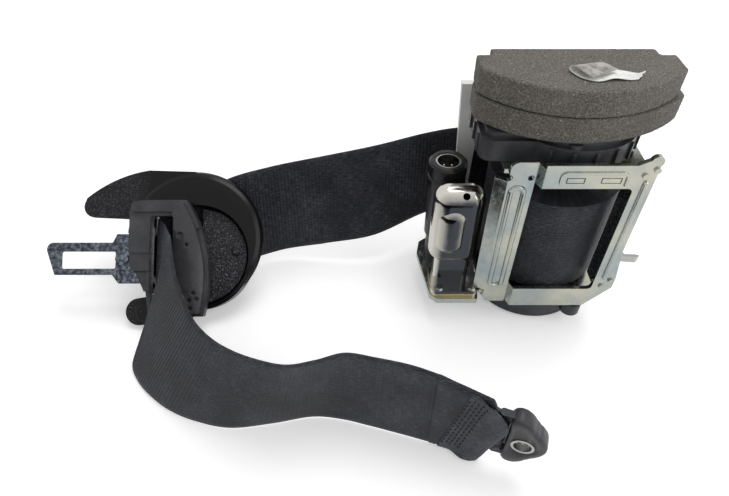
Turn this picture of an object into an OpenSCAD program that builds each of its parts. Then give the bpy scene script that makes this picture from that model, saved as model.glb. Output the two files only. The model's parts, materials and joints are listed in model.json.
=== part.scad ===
// Seat belt retractor with webbing, tongue, trim bezel and end anchor.
// Origin on the spool axis at the floor, +Z up, millimetres.

/* [Webbing] */
// Width of the webbing
web_w = 48; // [46:0.5:50]
// Thickness of the webbing
web_t = 1.2; // [1:0.1:1.4]
// Radius of the wound webbing
roll_r = 28; // [24:0.5:29]

/* [Frame] */
// Thickness of the frame plates
plate_t = 2; // [1.6:0.1:2.4]
// Width of the frame, right of the spool axis
frame_right = 26; // [25:0.5:30]
// Width of the frame, left of the spool axis
frame_left = 29; // [28:0.5:31]
// Gap between the roll and the front plate
roll_clear = 1; // [0.8:0.1:2]
// Gap between the roll and the back plate
back_clear = 3; // [2.5:0.1:5]
// Room between the lower end plate and the roll
low_room = 4.9; // [4.5:0.1:7]
// Room between the roll and the upper end plate
high_room = 14.4; // [14:0.1:18]
// Height of the front plate's top strip
strip_top = 10.6; // [10:0.1:14]
// Width of the front plate's right upright
upright_w = 6.8; // [6:0.1:8]
// Radius of the mounting bolt hole
bolt_r = 5.25; // [4:0.05:6.5]

/* [Spool and lock] */
// Radius of the spool core under the webbing
core_r = 9; // [8:0.5:11]
// Radius of the spool's lower journal
journal_r = 6; // [5:0.1:7]
// Number of lock teeth in the upper end plate
teeth = 36; // [24:12:36]
// Radius at the tips of the lock teeth
tooth_tip_r = 19; // [18.6:0.1:20]
// Depth of the lock teeth
tooth_h = 2; // [1.8:0.1:2.4]
// Angle that the lock pawl swings
pawl_swing = 8.7; // [6:0.1:9]

/* [Spring cassette] */
// Outer radius of the spring cassette
cassette_r = 27.7; // [26:0.1:30]
// Height of the spring cassette
cassette_h = 12.9; // [11:0.1:15]
// Wall of the spring cassette
cassette_wall = 1.6; // [1.2:0.1:2]
// Turns of the return spring
spring_turns = 6; // [4:1:8]

/* [Pretensioner] */
// Thickness of the pretensioner base
base_t = 2.8; // [2.4:0.1:4]
// Radius of the rotor chamber
chamber_r = 17; // [16:0.1:19]
// Width of the gas manifold
manifold_w = 22; // [20:0.5:22.5]
// Depth of the gas manifold
manifold_d = 13; // [11:0.5:13]
// Height of the gas manifold
manifold_h = 54; // [48:0.5:56]
// Radius of the gas generator cap
generator_r = 8.4; // [7.5:0.1:8.6]
// Height of the gas generator above its seat
generator_h = 56; // [50:0.5:58]

/* [Cover and foam] */
// Height of the lock cover
cover_h = 11.5; // [10.5:0.1:14]
// Wall of the lock cover
cover_wall = 1.8; // [1.4:0.1:2.2]
// Thickness of one foam layer
foam_t = 10.7; // [8:0.1:14]
// Radius of the foam's curved front edge
foam_front_r = 48; // [44:1:54]

/* [Tongue and bezel] */
// Width of the latch blade
blade_w = 15; // [14:0.5:17]
// Length of the latch blade outside the tongue
blade_out = 38.5; // [34:0.5:42]
// Thickness of the latch blade
blade_t = 2.6; // [2.2:0.1:3]
// Outer radius of the trim bezel
bezel_r = 32.5; // [32:0.5:34]
// Depth of the trim bezel's dish
bezel_depth = 8; // [7:0.1:8.5]

/* [Anchor] */
// Radius of the bolt eye
eye_r = 3.2; // [2.8:0.05:4]
// Thickness of the anchor plate
anchor_t = 3; // [2.4:0.1:3.4]

/* [Hidden] */
$fn = 64;
// Small overlap that makes cuts run past a face
over = 0.5;
// Gap that keeps neighbouring pieces apart
gap = 0.3;
// Radial clearance of a running fit
run_fit = 0.05;

// Heights of the stack, from the floor up
z_base = cassette_h;
z_low = z_base + base_t;
z_low_top = z_low + plate_t;
z_roll = z_low_top + low_room;
z_roll_top = z_roll + web_w;
z_up = z_roll_top + high_room;
z_up_top = z_up + plate_t;
z_cover_top = z_up_top + cover_h;
z_foam_mid = z_cover_top + foam_t;

// Depths of the frame, from the camera side back
y_front_in = -(roll_r + roll_clear);
y_front = y_front_in - plate_t;
y_back_in = roll_r + back_clear;
y_back = y_back_in + plate_t;

// Rounded rectangle from (x0, y0) to (x1, y1)
module round_rect(x0, y0, x1, y1, r) {
    translate([x0 + r, y0]) square([x1 - x0 - 2 * r, y1 - y0]);
    translate([x0, y0 + r]) square([x1 - x0, y1 - y0 - 2 * r]);
    for (x = [x0 + r, x1 - r], y = [y0 + r, y1 - r]) translate([x, y]) circle(r);
}

// Slot shape between two points, with round ends
module slot_shape(a, b, r) {
    turn = atan2(b[1] - a[1], b[0] - a[0]);
    for (p = [a, b]) translate(p) circle(r);
    translate(a) rotate(turn) translate([0, -r]) square([norm(b - a), 2 * r]);
}

// Flat shape drawn in X and Z, raised from y0 to y1
module upright(y0, y1) translate([0, y1, 0]) rotate([90, 0, 0]) linear_extrude(y1 - y0) children();

// Lock pawl: pivot and tip, at rest and locked
pawl_pivot = [11.3, -6.5];
pawl_pin_r = 2;
pawl_tip_r = tooth_tip_r - 0.7;
pawl_tip_angle = 35;
pawl_tip = pawl_tip_r * [cos(pawl_tip_angle), sin(pawl_tip_angle)];
pawl_arm = pawl_tip - pawl_pivot;
pawl_locked = pawl_pivot + [pawl_arm[0] * cos(pawl_swing) + pawl_arm[1] * sin(pawl_swing),
    pawl_arm[1] * cos(pawl_swing) - pawl_arm[0] * sin(pawl_swing)];
tooth_phase = atan2(pawl_locked[1], pawl_locked[0]);

// Toothed hole: each valley is centred on the tooth phase plus whole pitches
module tooth_hole() polygon([for (i = [0 : teeth - 1], k = [0, 1]) let (
    r = k == 0 ? tooth_tip_r + tooth_h : tooth_tip_r,
    a = tooth_phase + (i + k / 2) * 360 / teeth) r * [cos(a), sin(a)]]);

// U-shaped frame: back plate with two end plates
tab_z = 48;
tab_reach = 22;
tab_h = 24;
bush_wall = 2;
bush_r = journal_r + run_fit + bush_wall;
upper_tabs = [[-6.6, -0.3], [6.4, 13.4]];
end_corner = 5;
module end_plate_shape() {
    translate([joggle_x, y_front_in]) square([frame_right - end_corner - joggle_x, -y_front_in]);
    translate([joggle_x, y_front_in + end_corner])
        square([frame_right - joggle_x, -y_front_in - end_corner]);
    translate([frame_right - end_corner, y_front_in + end_corner]) circle(end_corner);
    translate([-frame_left, strip_y + plate_t]) square([frame_left + joggle_x + over, -strip_y - plate_t]);
    translate([-back_half, -over]) square([2 * back_half, y_back_in + over]);
}
back_half = 24;
module frame() color("lightsteelblue") {
    difference() {
        translate([0, 0, z_low]) linear_extrude(plate_t) end_plate_shape();
        translate([0, 0, z_low - over]) cylinder(h = plate_t + 2 * over, r = bush_r);
        for (p = rivet_at) translate([p[0], p[1], z_low - over])
            cylinder(h = plate_t + 2 * over, r = rivet_r);
    }
    difference() {
        union() {
            translate([0, 0, z_up]) linear_extrude(plate_t) end_plate_shape();
            for (t = upper_tabs) translate([t[0], y_front, z_up])
                cube([t[1] - t[0], plate_t + over, plate_t]);
        }
        translate([0, 0, z_up - over]) linear_extrude(plate_t + 2 * over) tooth_hole();
        for (p = cover_screw_at) translate([p[0], p[1], z_up - over])
            cylinder(h = plate_t + 2 * over, r = cover_screw_r);
    }
    difference() {
        union() {
            translate([-back_half, y_back_in, z_low]) cube([2 * back_half, plate_t, z_up_top - z_low]);
            upright(y_back_in, y_back) round_rect(back_half - over - end_corner, tab_z - tab_h / 2,
                back_half + tab_reach, tab_z + tab_h / 2, end_corner);
        }
        upright(y_back_in - over, y_back + over) round_rect(-back_window, z_roll + end_corner,
            back_window, z_roll_top - end_corner, end_corner);
        translate([back_half + tab_reach / 2, y_back_in - over, tab_z]) rotate([-90, 0, 0])
            cylinder(h = plate_t + 2 * over, r = bolt_r);
    }
}
back_window = 14;

// Stamped front plate: window, joggle, beads, left strip and splayed flange
joggle_x = -15.4;
joggle_run = 1.6;
joggle_step = 4;
window_right = frame_right - upright_w;
window_r = 2;
sill_up = 2.4;
head_down = 2.8;
z_win_low = z_roll + sill_up;
z_win_high = z_up - head_down;
front_drop = 2;
z_front_low = z_low - front_drop;
z_front_top = z_win_high + strip_top;
foot_cut = 8;
hip_out = 2.2;
hip_low = 1;
hip_high = 7;
hip_end = 24;
// Rounded horn at the top right corner
horn_in = 1.8;
horn_up = 1.6;
horn_r = 2.4;
horn_run = 8.4;
horn_at = [frame_right - horn_in, z_front_top + horn_up];
tab_play = 0.3;
module front_outline() {
    difference() {
        polygon([[joggle_x, z_front_low], [frame_right - foot_cut, z_front_low],
            [frame_right + hip_out, z_win_low + hip_low], [frame_right + hip_out, z_win_low + hip_high],
            [frame_right, z_win_low + hip_end], [frame_right, horn_at[1]],
            horn_at + [-horn_r, horn_r] / 2, [frame_right - horn_run, z_front_top],
                [joggle_x, z_front_top]]);
        round_rect(joggle_x - 2 * window_r, z_win_low, window_right, z_win_high, window_r);
        for (t = upper_tabs) translate([t[0] - tab_play, z_up - tab_play])
            square([t[1] - t[0] + 2 * tab_play, plate_t + 2 * tab_play]);
    }
    translate(horn_at) circle(horn_r);
}
// Web of the joggle between two heights
module joggle(z0, z1) translate([0, 0, z0]) linear_extrude(z1 - z0)
    polygon([[joggle_x, y_front], [joggle_x, y_front_in], [strip_right, strip_y + plate_t],
        [strip_right, strip_y]]);
// Left strip with rounded corners, a relief notch and a hole
strip_left = -27.2;
strip_right = joggle_x - joggle_run;
strip_y = y_front + joggle_step;
strip_low = z_front_low - 1.6;
strip_high = z_front_top - 1.4;
strip_r = 3.5;
notch_r = 1.4;
strip_hole_r = 1.2;
strip_hole_in = 1.8;
relief_up = 2;
module left_strip() difference() {
    round_rect(strip_left, strip_low, strip_right + strip_r + over, strip_high, strip_r);
    translate([strip_right, strip_low - over])
        square([strip_r + 2 * over, strip_high - strip_low + 2 * over]);
    translate([strip_left, z_win_high + relief_up]) circle(notch_r);
    translate([strip_right - strip_hole_in, z_win_high + relief_up]) circle(strip_hole_r);
}
// Half-round bead that runs in a long loop on the left strip
ridge_r = 1.1;
loop_half = 2.6;
loop_mid = -22.9;
loop_from = z_win_low + 1;
loop_to = z_win_high - 5.2;
loop_room_r = loop_half + 2 * ridge_r;
module bead_loop() translate([loop_mid, strip_y, 0]) {
    for (side = [-1, 1]) translate([side * loop_half, 0, loop_from])
        cylinder(h = loop_to - loop_from, r = ridge_r);
    for (end = [[loop_to, 0], [loop_from, -loop_room_r]]) translate([0, 0, end[0]]) intersection() {
        rotate([90, 0, 0]) rotate_extrude() translate([loop_half, 0]) circle(ridge_r);
        translate([-loop_room_r, -2 * ridge_r, end[1]]) cube([2 * loop_room_r, 4 * ridge_r, loop_room_r]);
    }
}
// Flange bent back from the left strip
flange_turn = 28;
flange_run = 4.4;
flange_low = z_win_low - 5;
flange_high = z_win_high + 0.4;
bend_steps = 4;
module side_flange() {
    bend = [for (k = [0 : bend_steps]) let (a = -90 - k * flange_turn / bend_steps)
        plate_t * [cos(a), sin(a)]];
    way = flange_run * [-cos(flange_turn), sin(flange_turn)];
    translate([strip_left, strip_y + plate_t, flange_low]) linear_extrude(flange_high - flange_low)
        polygon(concat([[0, 0]], bend, [bend[bend_steps] + way, way]));
}
// Raised line over the two tab slots
field_left = -9.5;
field_right = 16;
field_up = 0.8;
field_down = 2.8;
field_rise = 0.6;
field_line = 0.9;
field_r = 2.5;
module tab_field() difference() {
    round_rect(field_left, z_win_high + field_up, field_right, z_front_top - field_down, field_r);
    round_rect(field_left + field_line, z_win_high + field_up - 2 * field_r, field_right - field_line,
        z_front_top - field_down - field_line, field_r - field_line);
}
bead_r = 1.2;
bead_x = frame_right - 3;
bead_from = z_win_low + 8;
bead_to = z_front_top - 8;
dimples = [[frame_right - 4.3, z_front_top - 4.6], [frame_right - 0.8, z_front_top - 1.8],
    [frame_right + 0.3, z_win_low + 5.6], [frame_right - 2.8, z_win_low + 2]];
dimple_r = 1.2;
dimple_rise = 0.8;
lip_deep = 7;
lip_set = 0.2;
module front_plate() color("lightgray") {
    upright(y_front, y_front_in) front_outline();
    // Return lip that keeps the webbing off the window's right edge
    translate([window_right + lip_set, y_front_in - over, z_win_low + window_r])
        cube([plate_t, lip_deep + over, z_win_high - z_win_low - 2 * window_r]);
    upright(y_front - field_rise, y_front + over) tab_field();
    translate([bead_x, y_front, bead_from]) cylinder(h = bead_to - bead_from, r = bead_r);
    for (z = [bead_from, bead_to]) translate([bead_x, y_front, z]) sphere(bead_r);
    for (d = dimples) translate([d[0], y_front + over, d[1]]) rotate([90, 0, 0])
        cylinder(h = dimple_rise + over, r = dimple_r);
    joggle(z_front_low, z_win_low);
    joggle(z_win_high, strip_high - over);
    upright(strip_y, strip_y + plate_t) left_strip();
    bead_loop();
    side_flange();
}

// Plain bushes that carry the spool
module lower_bush() color("dimgray") translate([0, 0, z_low]) difference() {
    union() {
        cylinder(h = plate_t + 1, r = bush_r - 0.02);
        translate([0, 0, plate_t]) cylinder(h = 1, r = bush_r + 2);
    }
    translate([0, 0, -over]) cylinder(h = plate_t + 1 + 2 * over, r = journal_r + run_fit);
}
boss_r = 6;
module upper_bush() color("dimgray") translate([0, 0, z_cover_top - cover_wall - bush_h]) difference() {
    cylinder(h = bush_h, r = pin_r + run_fit + 1.5);
    translate([0, 0, -over]) cylinder(h = bush_h + 2 * over, r = pin_r + run_fit);
}
bush_h = 3;
pin_r = 2.5;

// Rivets that hold the pretensioner base under the lower end plate
rivet_r = 2;
rivet_ring = chamber_r + 4;
rivet_at = [for (a = [60, 180, 300]) rivet_ring * [cos(a), sin(a)]];
seat_fit = 0.02;
module frame_rivets() color("silver") for (p = rivet_at) translate([p[0], p[1], z_base]) {
    cylinder(h = base_t + plate_t, r = rivet_r - seat_fit);
    translate([0, 0, base_t + plate_t]) cylinder(h = 1.2, r1 = rivet_r + 1, r2 = rivet_r);
}

// Bent spring clip behind the right upright
clip_t = 1.2;
clip_z = 36;
clip_h = 3.4;
clip_left = window_right + lip_set + plate_t + 2 * gap;
clip_back = y_front_in + 5;
clip_curl = 1.6;
clip_out = frame_right + 11;
module side_clip() color("silver") {
    translate([0, 0, clip_z]) linear_extrude(clip_h) polygon([[clip_left, y_front_in],
        [frame_right - clip_t / 2, y_front_in], [frame_right + 2, clip_back],
            [clip_out, clip_back - clip_t],
        [clip_out + clip_curl, clip_back], [clip_out, clip_back + clip_t / 2],
        [frame_right + clip_t, clip_back + clip_t], [frame_right - clip_curl, y_front_in + clip_t],
        [clip_left, y_front_in + clip_t]]);
    translate([0, 0, clip_z + clip_h]) linear_extrude(clip_h) polygon([[clip_left, y_front_in],
        [frame_right - clip_t / 2, y_front_in], [frame_right + 4, y_front_in + 3],
        [frame_right + 3, y_front_in + 3 + clip_t], [frame_right - clip_curl, y_front_in + clip_t],
        [clip_left, y_front_in + clip_t]]);
}

// Webbing guide: slot frame at the belt exit with a flared top
guide_x = -35;
lip_r = 2.5;
guide_slot = 4.6;
strap_y = roll_r + 0.9;
guide_low = z_low_top;
guide_top = z_cover_top - 0.5;
bridge_h = 3;
front_lip_y = strap_y - guide_slot / 2 - lip_r;
back_lip_y = strap_y + guide_slot / 2 + lip_r;
guide_under = 6;
guide_end = z_up - guide_under;
leg_lap = 5;
flare_set = 5;
flare_t = 3.6;
flare_low = 39;
flare_half = 3;
flare_right = 4;
flare_left = 6;
module webbing_guide() color("whitesmoke") {
    translate([guide_x, front_lip_y, guide_low]) cylinder(h = guide_end - guide_low, r = lip_r);
    translate([guide_x, back_lip_y, guide_low]) cylinder(h = guide_end - guide_low, r = lip_r);
    for (z = [guide_low, guide_end - bridge_h])
        translate([guide_x - lip_r, front_lip_y, z]) cube([2 * lip_r, back_lip_y - front_lip_y, bridge_h]);
    // Leg that seats on the outside of the back plate
    translate([guide_x, y_back, z_roll]) cube([-guide_x - back_half + leg_lap, lip_r, web_w]);
    // Flared strip in front of the exit
    translate([0, front_lip_y - flare_set, 0]) upright(0, flare_t)
        polygon([[guide_x - flare_half, flare_low], [guide_x + flare_half, flare_low],
            [guide_x + flare_right, guide_top], [guide_x - flare_left, guide_top]]);
}

// Lock cover: closed shell over the lock, with a lobe for the sensor
cover_r = frame_right + 0.5;
lobe_left = -38;
lobe_front = -20;
lobe_back = 14;
lobe_r = 5;
cover_screw_r = 1.6;
cover_screw_ring = tooth_tip_r + tooth_h + 2.6;
cover_screw_at = [for (a = [20, 140, 260]) cover_screw_ring * [cos(a), sin(a)]];
module cover_outline(inset) {
    circle(cover_r - inset);
    round_rect(lobe_left + inset, lobe_front + inset, 0, lobe_back - inset, lobe_r - inset);
}
chamfer_h = 2.5;
rib_root = 0.8;
rib_out = 1;
rib_w = 1.2;
rib_lift = 0.8;
module lock_cover() color("#202226") difference() {
    union() {
        difference() {
            union() {
                translate([0, 0, z_up_top]) linear_extrude(cover_h - chamfer_h) cover_outline(0);
                translate([0, 0, z_cover_top - chamfer_h]) linear_extrude(chamfer_h) cover_outline(2);
            }
            translate([0, 0, z_up_top - over]) linear_extrude(cover_h - chamfer_h - cover_wall + over)
                cover_outline(cover_wall);
            translate([0, 0, z_up_top]) linear_extrude(cover_h - cover_wall) cover_outline(2 + cover_wall);
        }
        for (p = cover_screw_at) translate([p[0], p[1], z_up_top])
            cylinder(h = cover_h - cover_wall / 2, r = cover_screw_r + 1);
        // Ribs on the front wall
        for (a = [-118 : 18 : -28]) rotate(a)
            translate([cover_r - rib_root, -rib_w / 2, z_up_top + rib_lift])
            cube([rib_root + rib_out, rib_w, cover_h - chamfer_h - 2 * rib_lift]);
        for (y = [-14, -6, 2]) translate([lobe_left - rib_out, y, z_up_top + rib_lift])
            cube([rib_root + rib_out, rib_w, cover_h - chamfer_h - 2 * rib_lift]);
    }
    for (p = cover_screw_at) translate([p[0], p[1], z_up_top - over]) 
        cylinder(h = screw_deep + over, r = cover_screw_r);
}
screw_deep = 7;
screw_grip = 6;
screw_head_h = 1.4;
screw_head_lap = 1.2;
module cover_screws() color("silver") for (p = cover_screw_at) translate([p[0], p[1], z_up]) {
    translate([0, 0, -screw_head_h]) cylinder(h = screw_head_h, r = cover_screw_r + screw_head_lap);
    cylinder(h = plate_t + screw_grip, r = cover_screw_r - seat_fit);
}

// Vehicle sensor: ball in a seat, with the lever that it pushes
sensor_x = -29;
ball_r = 3.5;
ball_y = -2.2;
ball_z = z_up_top + 4.6;
ball_travel = 0.8;
lever_y = ball_y + ball_r + gap;
lever_t = 1;
lever_pin_r = 0.8;
lever_drop = 3.4;
lever_pivot = [lever_y + lever_t / 2, ball_z + lever_drop];
module sensor_housing() color("dimgray") difference() {
    union() {
        translate([sensor_x - 4.6, -13, z_up_top]) cube([9.2, 14, 8.4]);
        for (x = [sensor_x - 4.6, sensor_x + 3.4]) translate([x, 0, z_up_top + 6.6]) cube([1.2, 4, 2.9]);
    }
    translate([sensor_x, -10, ball_z]) rotate([-90, 0, 0]) cylinder(h = 12, r = ball_r + 0.4);
    translate([sensor_x, lever_pivot[0], lever_pivot[1]]) rotate([0, 90, 0])
        cylinder(h = 12, r = lever_pin_r + run_fit, center = true);
}
module sensor_ball() color("gainsboro") translate([sensor_x, ball_y, ball_z]) sphere(ball_r);
module sensor_lever() color("white") {
    translate([sensor_x - 3, lever_y, ball_z - 2]) cube([6, lever_t, lever_drop + 2]);
    translate([sensor_x, lever_pivot[0], lever_pivot[1]]) rotate([0, 90, 0])
        cylinder(h = 9, r = lever_pin_r, center = true);
}

// Foam pad of two layers with a curved front edge and notched back corners
foam_left = -40.5;
foam_right = 33;
foam_back = 7;
foam_front = -26;
notch_w = 6;
notch_d = 5;
module foam_outline(shift) difference() {
    intersection() {
        translate([foam_left, foam_front]) square([foam_right - foam_left, foam_back - foam_front]);
        translate([(foam_left + foam_right) / 2 + shift, foam_front + foam_front_r]) circle(foam_front_r);
    }
    for (x = [foam_left - over, foam_right - notch_w]) translate([x, foam_back - notch_d])
        square([notch_w + over, notch_d + over]);
}
module foam_lower() color("#55565a") translate([0, 0, z_cover_top]) linear_extrude(foam_t) foam_outline(0);
module foam_upper() color("#5c5d61") translate([0, 0, z_foam_mid]) linear_extrude(foam_t) foam_outline(0.6);

// Spring cassette under the base
lid_t = 1.8;
drive_r = 4;
arbor_r = 7;
ear_at = [15, -27];
cassette_ear_r = 4.5;
ear_low = 6.5;
cassette_in = cassette_r - cassette_wall;
cassette_chamfer = 1.5;
ear_hole_r = 1.5;
module spring_housing() color("#3a3c40") difference() {
    union() {
        rotate_extrude() polygon([[0, 0], [cassette_r - cassette_chamfer, 0],
            [cassette_r, cassette_chamfer],
            [cassette_r, cassette_h - lid_t], [0, cassette_h - lid_t]]);
        translate([ear_at[0], ear_at[1], ear_low])
            cylinder(h = cassette_h - lid_t - ear_low, r = cassette_ear_r);
    }
    translate([0, 0, cassette_wall]) cylinder(h = cassette_h, r = cassette_in);
    translate([ear_at[0], ear_at[1], ear_low - over]) cylinder(h = cassette_h, r = ear_hole_r);
}
module spring_cover() color("#46484c") translate([0, 0, cassette_h - lid_t]) difference() {
    union() {
        cylinder(h = lid_t, r = cassette_r);
        translate(ear_at) cylinder(h = lid_t, r = cassette_ear_r);
    }
    translate([0, 0, -over]) cylinder(h = lid_t + 2 * over, r = journal_r + gap);
    translate([ear_at[0], ear_at[1], -over]) cylinder(h = lid_t + 2 * over, r = 1.5);
}
spring_t = 0.5;
spring_low = cassette_wall + 1;
spring_h = cassette_h - lid_t - spring_low - 0.8;
spring_steps = 16;
module return_spring() color("silver") translate([0, 0, spring_low]) linear_extrude(spring_h) {
    first_r = arbor_r + gap;
    rise = (cassette_in - gap - spring_t - first_r) / (spring_turns * spring_steps);
    line = [for (i = [0 : spring_turns * spring_steps]) [first_r + i * rise, i * 360 / spring_steps]];
    polygon(concat([for (p = line) p[0] * [cos(p[1]), sin(p[1])]],
        [for (i = [len(line) - 1 : -1 : 0]) (line[i][0] + spring_t) * [cos(line[i][1]), sin(line[i][1])]]));
}
module spring_arbor() color("white") translate([0, 0, cassette_wall + gap]) difference() {
    cylinder(h = cassette_h - lid_t - cassette_wall - 2 * gap, r = arbor_r);
    translate([0, 0, 1]) cylinder(h = cassette_h, r = drive_r);
}

// Pretensioner: base with rotor chamber, stop wall and gas passage
stop_from = 160;
stop_to = 188;
hub_out_r = chamber_r - 5.5;
module sector(r0, r1, a0, a1) polygon(concat([for (k = [0 : 8]) r1 * [cos(a0 + k * (a1 - a0) / 8),
    sin(a0 + k * (a1 - a0) / 8)]], [for (k = [8 : -1 : 0]) r0 * [cos(a0 + k * (a1 - a0) / 8),
    sin(a0 + k * (a1 - a0) / 8)]]));
manifold_at = [-42.2, -15.5];
generator_at = [-45.8, 1.8];
arm_shape = [[-19, -14], [-29, -22], [-30, -29], [-48.6, -29], [-51.8, -26], [-56, 1], [-54.5, 9],
    [-50, 12.5],
    [-36, 12.5], [-19, 13]];
port_r = 4;
channel_w = 4.4;
channel_turn = 24;
channel_run = 30;
module pretensioner_base() color("silver") translate([0, 0, z_base]) {
    difference() {
        union() {
            cylinder(h = base_t, r = rivet_ring + rivet_r + 1);
            linear_extrude(base_t) polygon(arm_shape);
        }
        translate([0, 0, -over]) cylinder(h = base_t + 2 * over, r = chamber_r);
        for (p = rivet_at) translate([p[0], p[1], -over]) cylinder(h = base_t + 2 * over, r = rivet_r);
        for (p = manifold_rivet_at) translate([p[0], p[1], -over])
            cylinder(h = base_t + 2 * over, r = manifold_rivet_r);
        // Gas port under the manifold and its channel into the chamber
        translate([manifold_at[0], manifold_at[1], -over]) cylinder(h = base_t + 2 * over, r = port_r);
        translate([manifold_at[0], manifold_at[1], -over]) rotate(channel_turn)
            translate([0, -channel_w / 2, 0])
            cube([channel_run, channel_w, base_t + 2 * over]);
    }
    linear_extrude(base_t) sector(hub_out_r + gap, chamber_r + over, stop_from, stop_to);
}
manifold_rivet_r = 1.6;
manifold_rivet_at = [[-32.4, -25], [-47.6, -25]];
flange_t = 1.6;
z_manifold = z_low + flange_t;
neck_half = 8;
neck_wall = 1.2;
flange_left = manifold_at[0] - neck_half - neck_wall;
flange_right = -frame_left - 0.8;
flange_front = -27.4;
flange_corner = 2.5;
module manifold_flange() difference() {
    round_rect(flange_left, flange_front, flange_right, manifold_at[1] + manifold_d / 2 + gap, flange_corner);
    for (p = manifold_rivet_at) translate(p) circle(manifold_rivet_r);
}
module manifold_gasket() color("#c8a24a") translate([0, 0, z_low]) linear_extrude(flange_t) difference() {
    manifold_flange();
    translate(manifold_at) circle(port_r);
}
// Pillow-shaped bulb of the manifold: a capsule drawn across, closed by round sides
shell_t = 1.5;
bulb_low = z_manifold + 13;
bulb_high = z_manifold + manifold_h;
side_run = (manifold_w - manifold_d) / 2;
module capsule(r, low, high) {
    translate([0, 0, low]) cylinder(h = high - low, r = r);
    for (z = [low, high]) translate([0, 0, z]) sphere(r);
}
module bulb(inset) {
    r = manifold_d / 2 - inset;
    low = bulb_low + manifold_d / 2;
    high = bulb_high - manifold_d / 2;
    rotate([90, 0, 90]) linear_extrude(2 * side_run, center = true) slot_shape([0, low], [0, high], r);
    for (turn = [0, 180]) rotate(turn) translate([side_run, 0, 0]) intersection() {
        capsule(r, low, high);
        translate([0, -manifold_d, z_manifold]) cube([manifold_d, 2 * manifold_d, manifold_h + over]);
    }
}
neck_deep = 5.2;
neck_r = 3;
module neck(inset) translate([0, 0, z_manifold - over])
    linear_extrude(bulb_low + manifold_d / 2 - z_manifold + over)
    round_rect(inset - neck_half, inset - neck_deep, neck_half - inset, neck_deep - inset, neck_r - inset);
// Domed panel pressed out of the front
panel_x = -2.3;
panel_r = 8;
panel_rise = 1.6;
panel_low = bulb_low + 13;
panel_high = bulb_high - 14;
vent_x = 1.8;
vent_r = 1.5;
vent_turn = 45;
module gas_manifold() color("gainsboro") difference() {
    union() {
        translate(manifold_at) {
            bulb(0);
            neck(0);
            intersection() {
                translate([panel_x, panel_r - panel_rise - manifold_d / 2, 0])
                    capsule(panel_r, panel_low, panel_high);
                translate([-manifold_w / 2, -manifold_d, z_manifold])
                    cube([manifold_w, manifold_d, manifold_h]);
            }
        }
        translate([0, 0, z_manifold]) linear_extrude(flange_t) manifold_flange();
    }
    translate(manifold_at) {
        bulb(shell_t);
        neck(shell_t);
        translate([vent_x, 0, bulb_high - manifold_d / 2]) rotate([vent_turn, 0, 0])
            cylinder(h = manifold_d, r = vent_r);
    }
    translate([0, 0, z_manifold - over]) linear_extrude(over) manifold_flange();
}
pip_h = 0.9;
pip_lap = 0.6;
module manifold_rivets() color("silver") for (p = manifold_rivet_at) translate([p[0], p[1], z_base]) {
    cylinder(h = base_t + 2 * flange_t, r = manifold_rivet_r - seat_fit);
    translate([0, 0, base_t + 2 * flange_t]) 
        cylinder(h = pip_h, r1 = manifold_rivet_r + pip_lap, r2 = manifold_rivet_r);
}

// Gas generator standing beside the manifold
cap_h = 12;
socket_r = 5.6;
socket_d = 7;
neck_h = 12;
z_cap = z_low + generator_h - cap_h;
module generator_body() color("#1c1d20")
    translate([generator_at[0], generator_at[1], z_low]) rotate_extrude()
    polygon([[0, 0], [generator_r - 2, 0], [generator_r - 2, neck_h], [generator_r - 0.9, neck_h + 3],
        [generator_r - 0.9, generator_h - cap_h], [0, generator_h - cap_h]]);
module generator_cap() color("#101114")
    translate([generator_at[0], generator_at[1], z_cap]) rotate_extrude()
    polygon([[0, 0], [generator_r, 0], [generator_r, 4], [generator_r - 0.7, 4.6], [generator_r - 0.7, 5.6],
        [generator_r, 6.2], [generator_r, cap_h - 1], [generator_r - 1, cap_h], [socket_r, cap_h],
        [socket_r, cap_h - socket_d], [0, cap_h - socket_d]]);
module connector_ring() color("silver")
    translate([generator_at[0], generator_at[1], z_cap + cap_h - socket_d])
    difference() {
        cylinder(h = socket_d - 0.4, r = socket_r - seat_fit);
        translate([0, 0, -over]) cylinder(h = socket_d + 2 * over, r = socket_r - 0.9);
    }
module igniter_pins() color("gold") for (x = [-1.7, 1.7])
    translate([generator_at[0] + x, generator_at[1], z_cap + cap_h - socket_d]) {
        cylinder(h = 4.2, r = 0.5);
        translate([0, 0, 4.2]) sphere(0.5);
    }

// Vane rotor and its clutch rollers round the spool journal
rotor_t = base_t - 0.4;
roller_r = 1.4;
roller_ring = journal_r + gap + roller_r + 0.15;
hub_in_r = roller_ring + roller_r + 0.1;
rotor_lift = 0.2;
vane_lap = 0.4;
vane_from = 8;
vane_to = 28;
roller_lift = 0.3;
roller_short = 0.2;
module drive_rotor() color("gray") translate([0, 0, z_base + rotor_lift]) linear_extrude(rotor_t) {
    difference() {
        circle(hub_out_r);
        circle(hub_in_r);
    }
    sector(hub_out_r - vane_lap, chamber_r - gap, stop_to + vane_from, stop_to + vane_to);
}
module clutch_rollers() color("silver") for (a = [0 : 60 : 300]) rotate(a)
    translate([roller_ring, 0, z_base + roller_lift]) cylinder(h = rotor_t - roller_short, r = roller_r);

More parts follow.
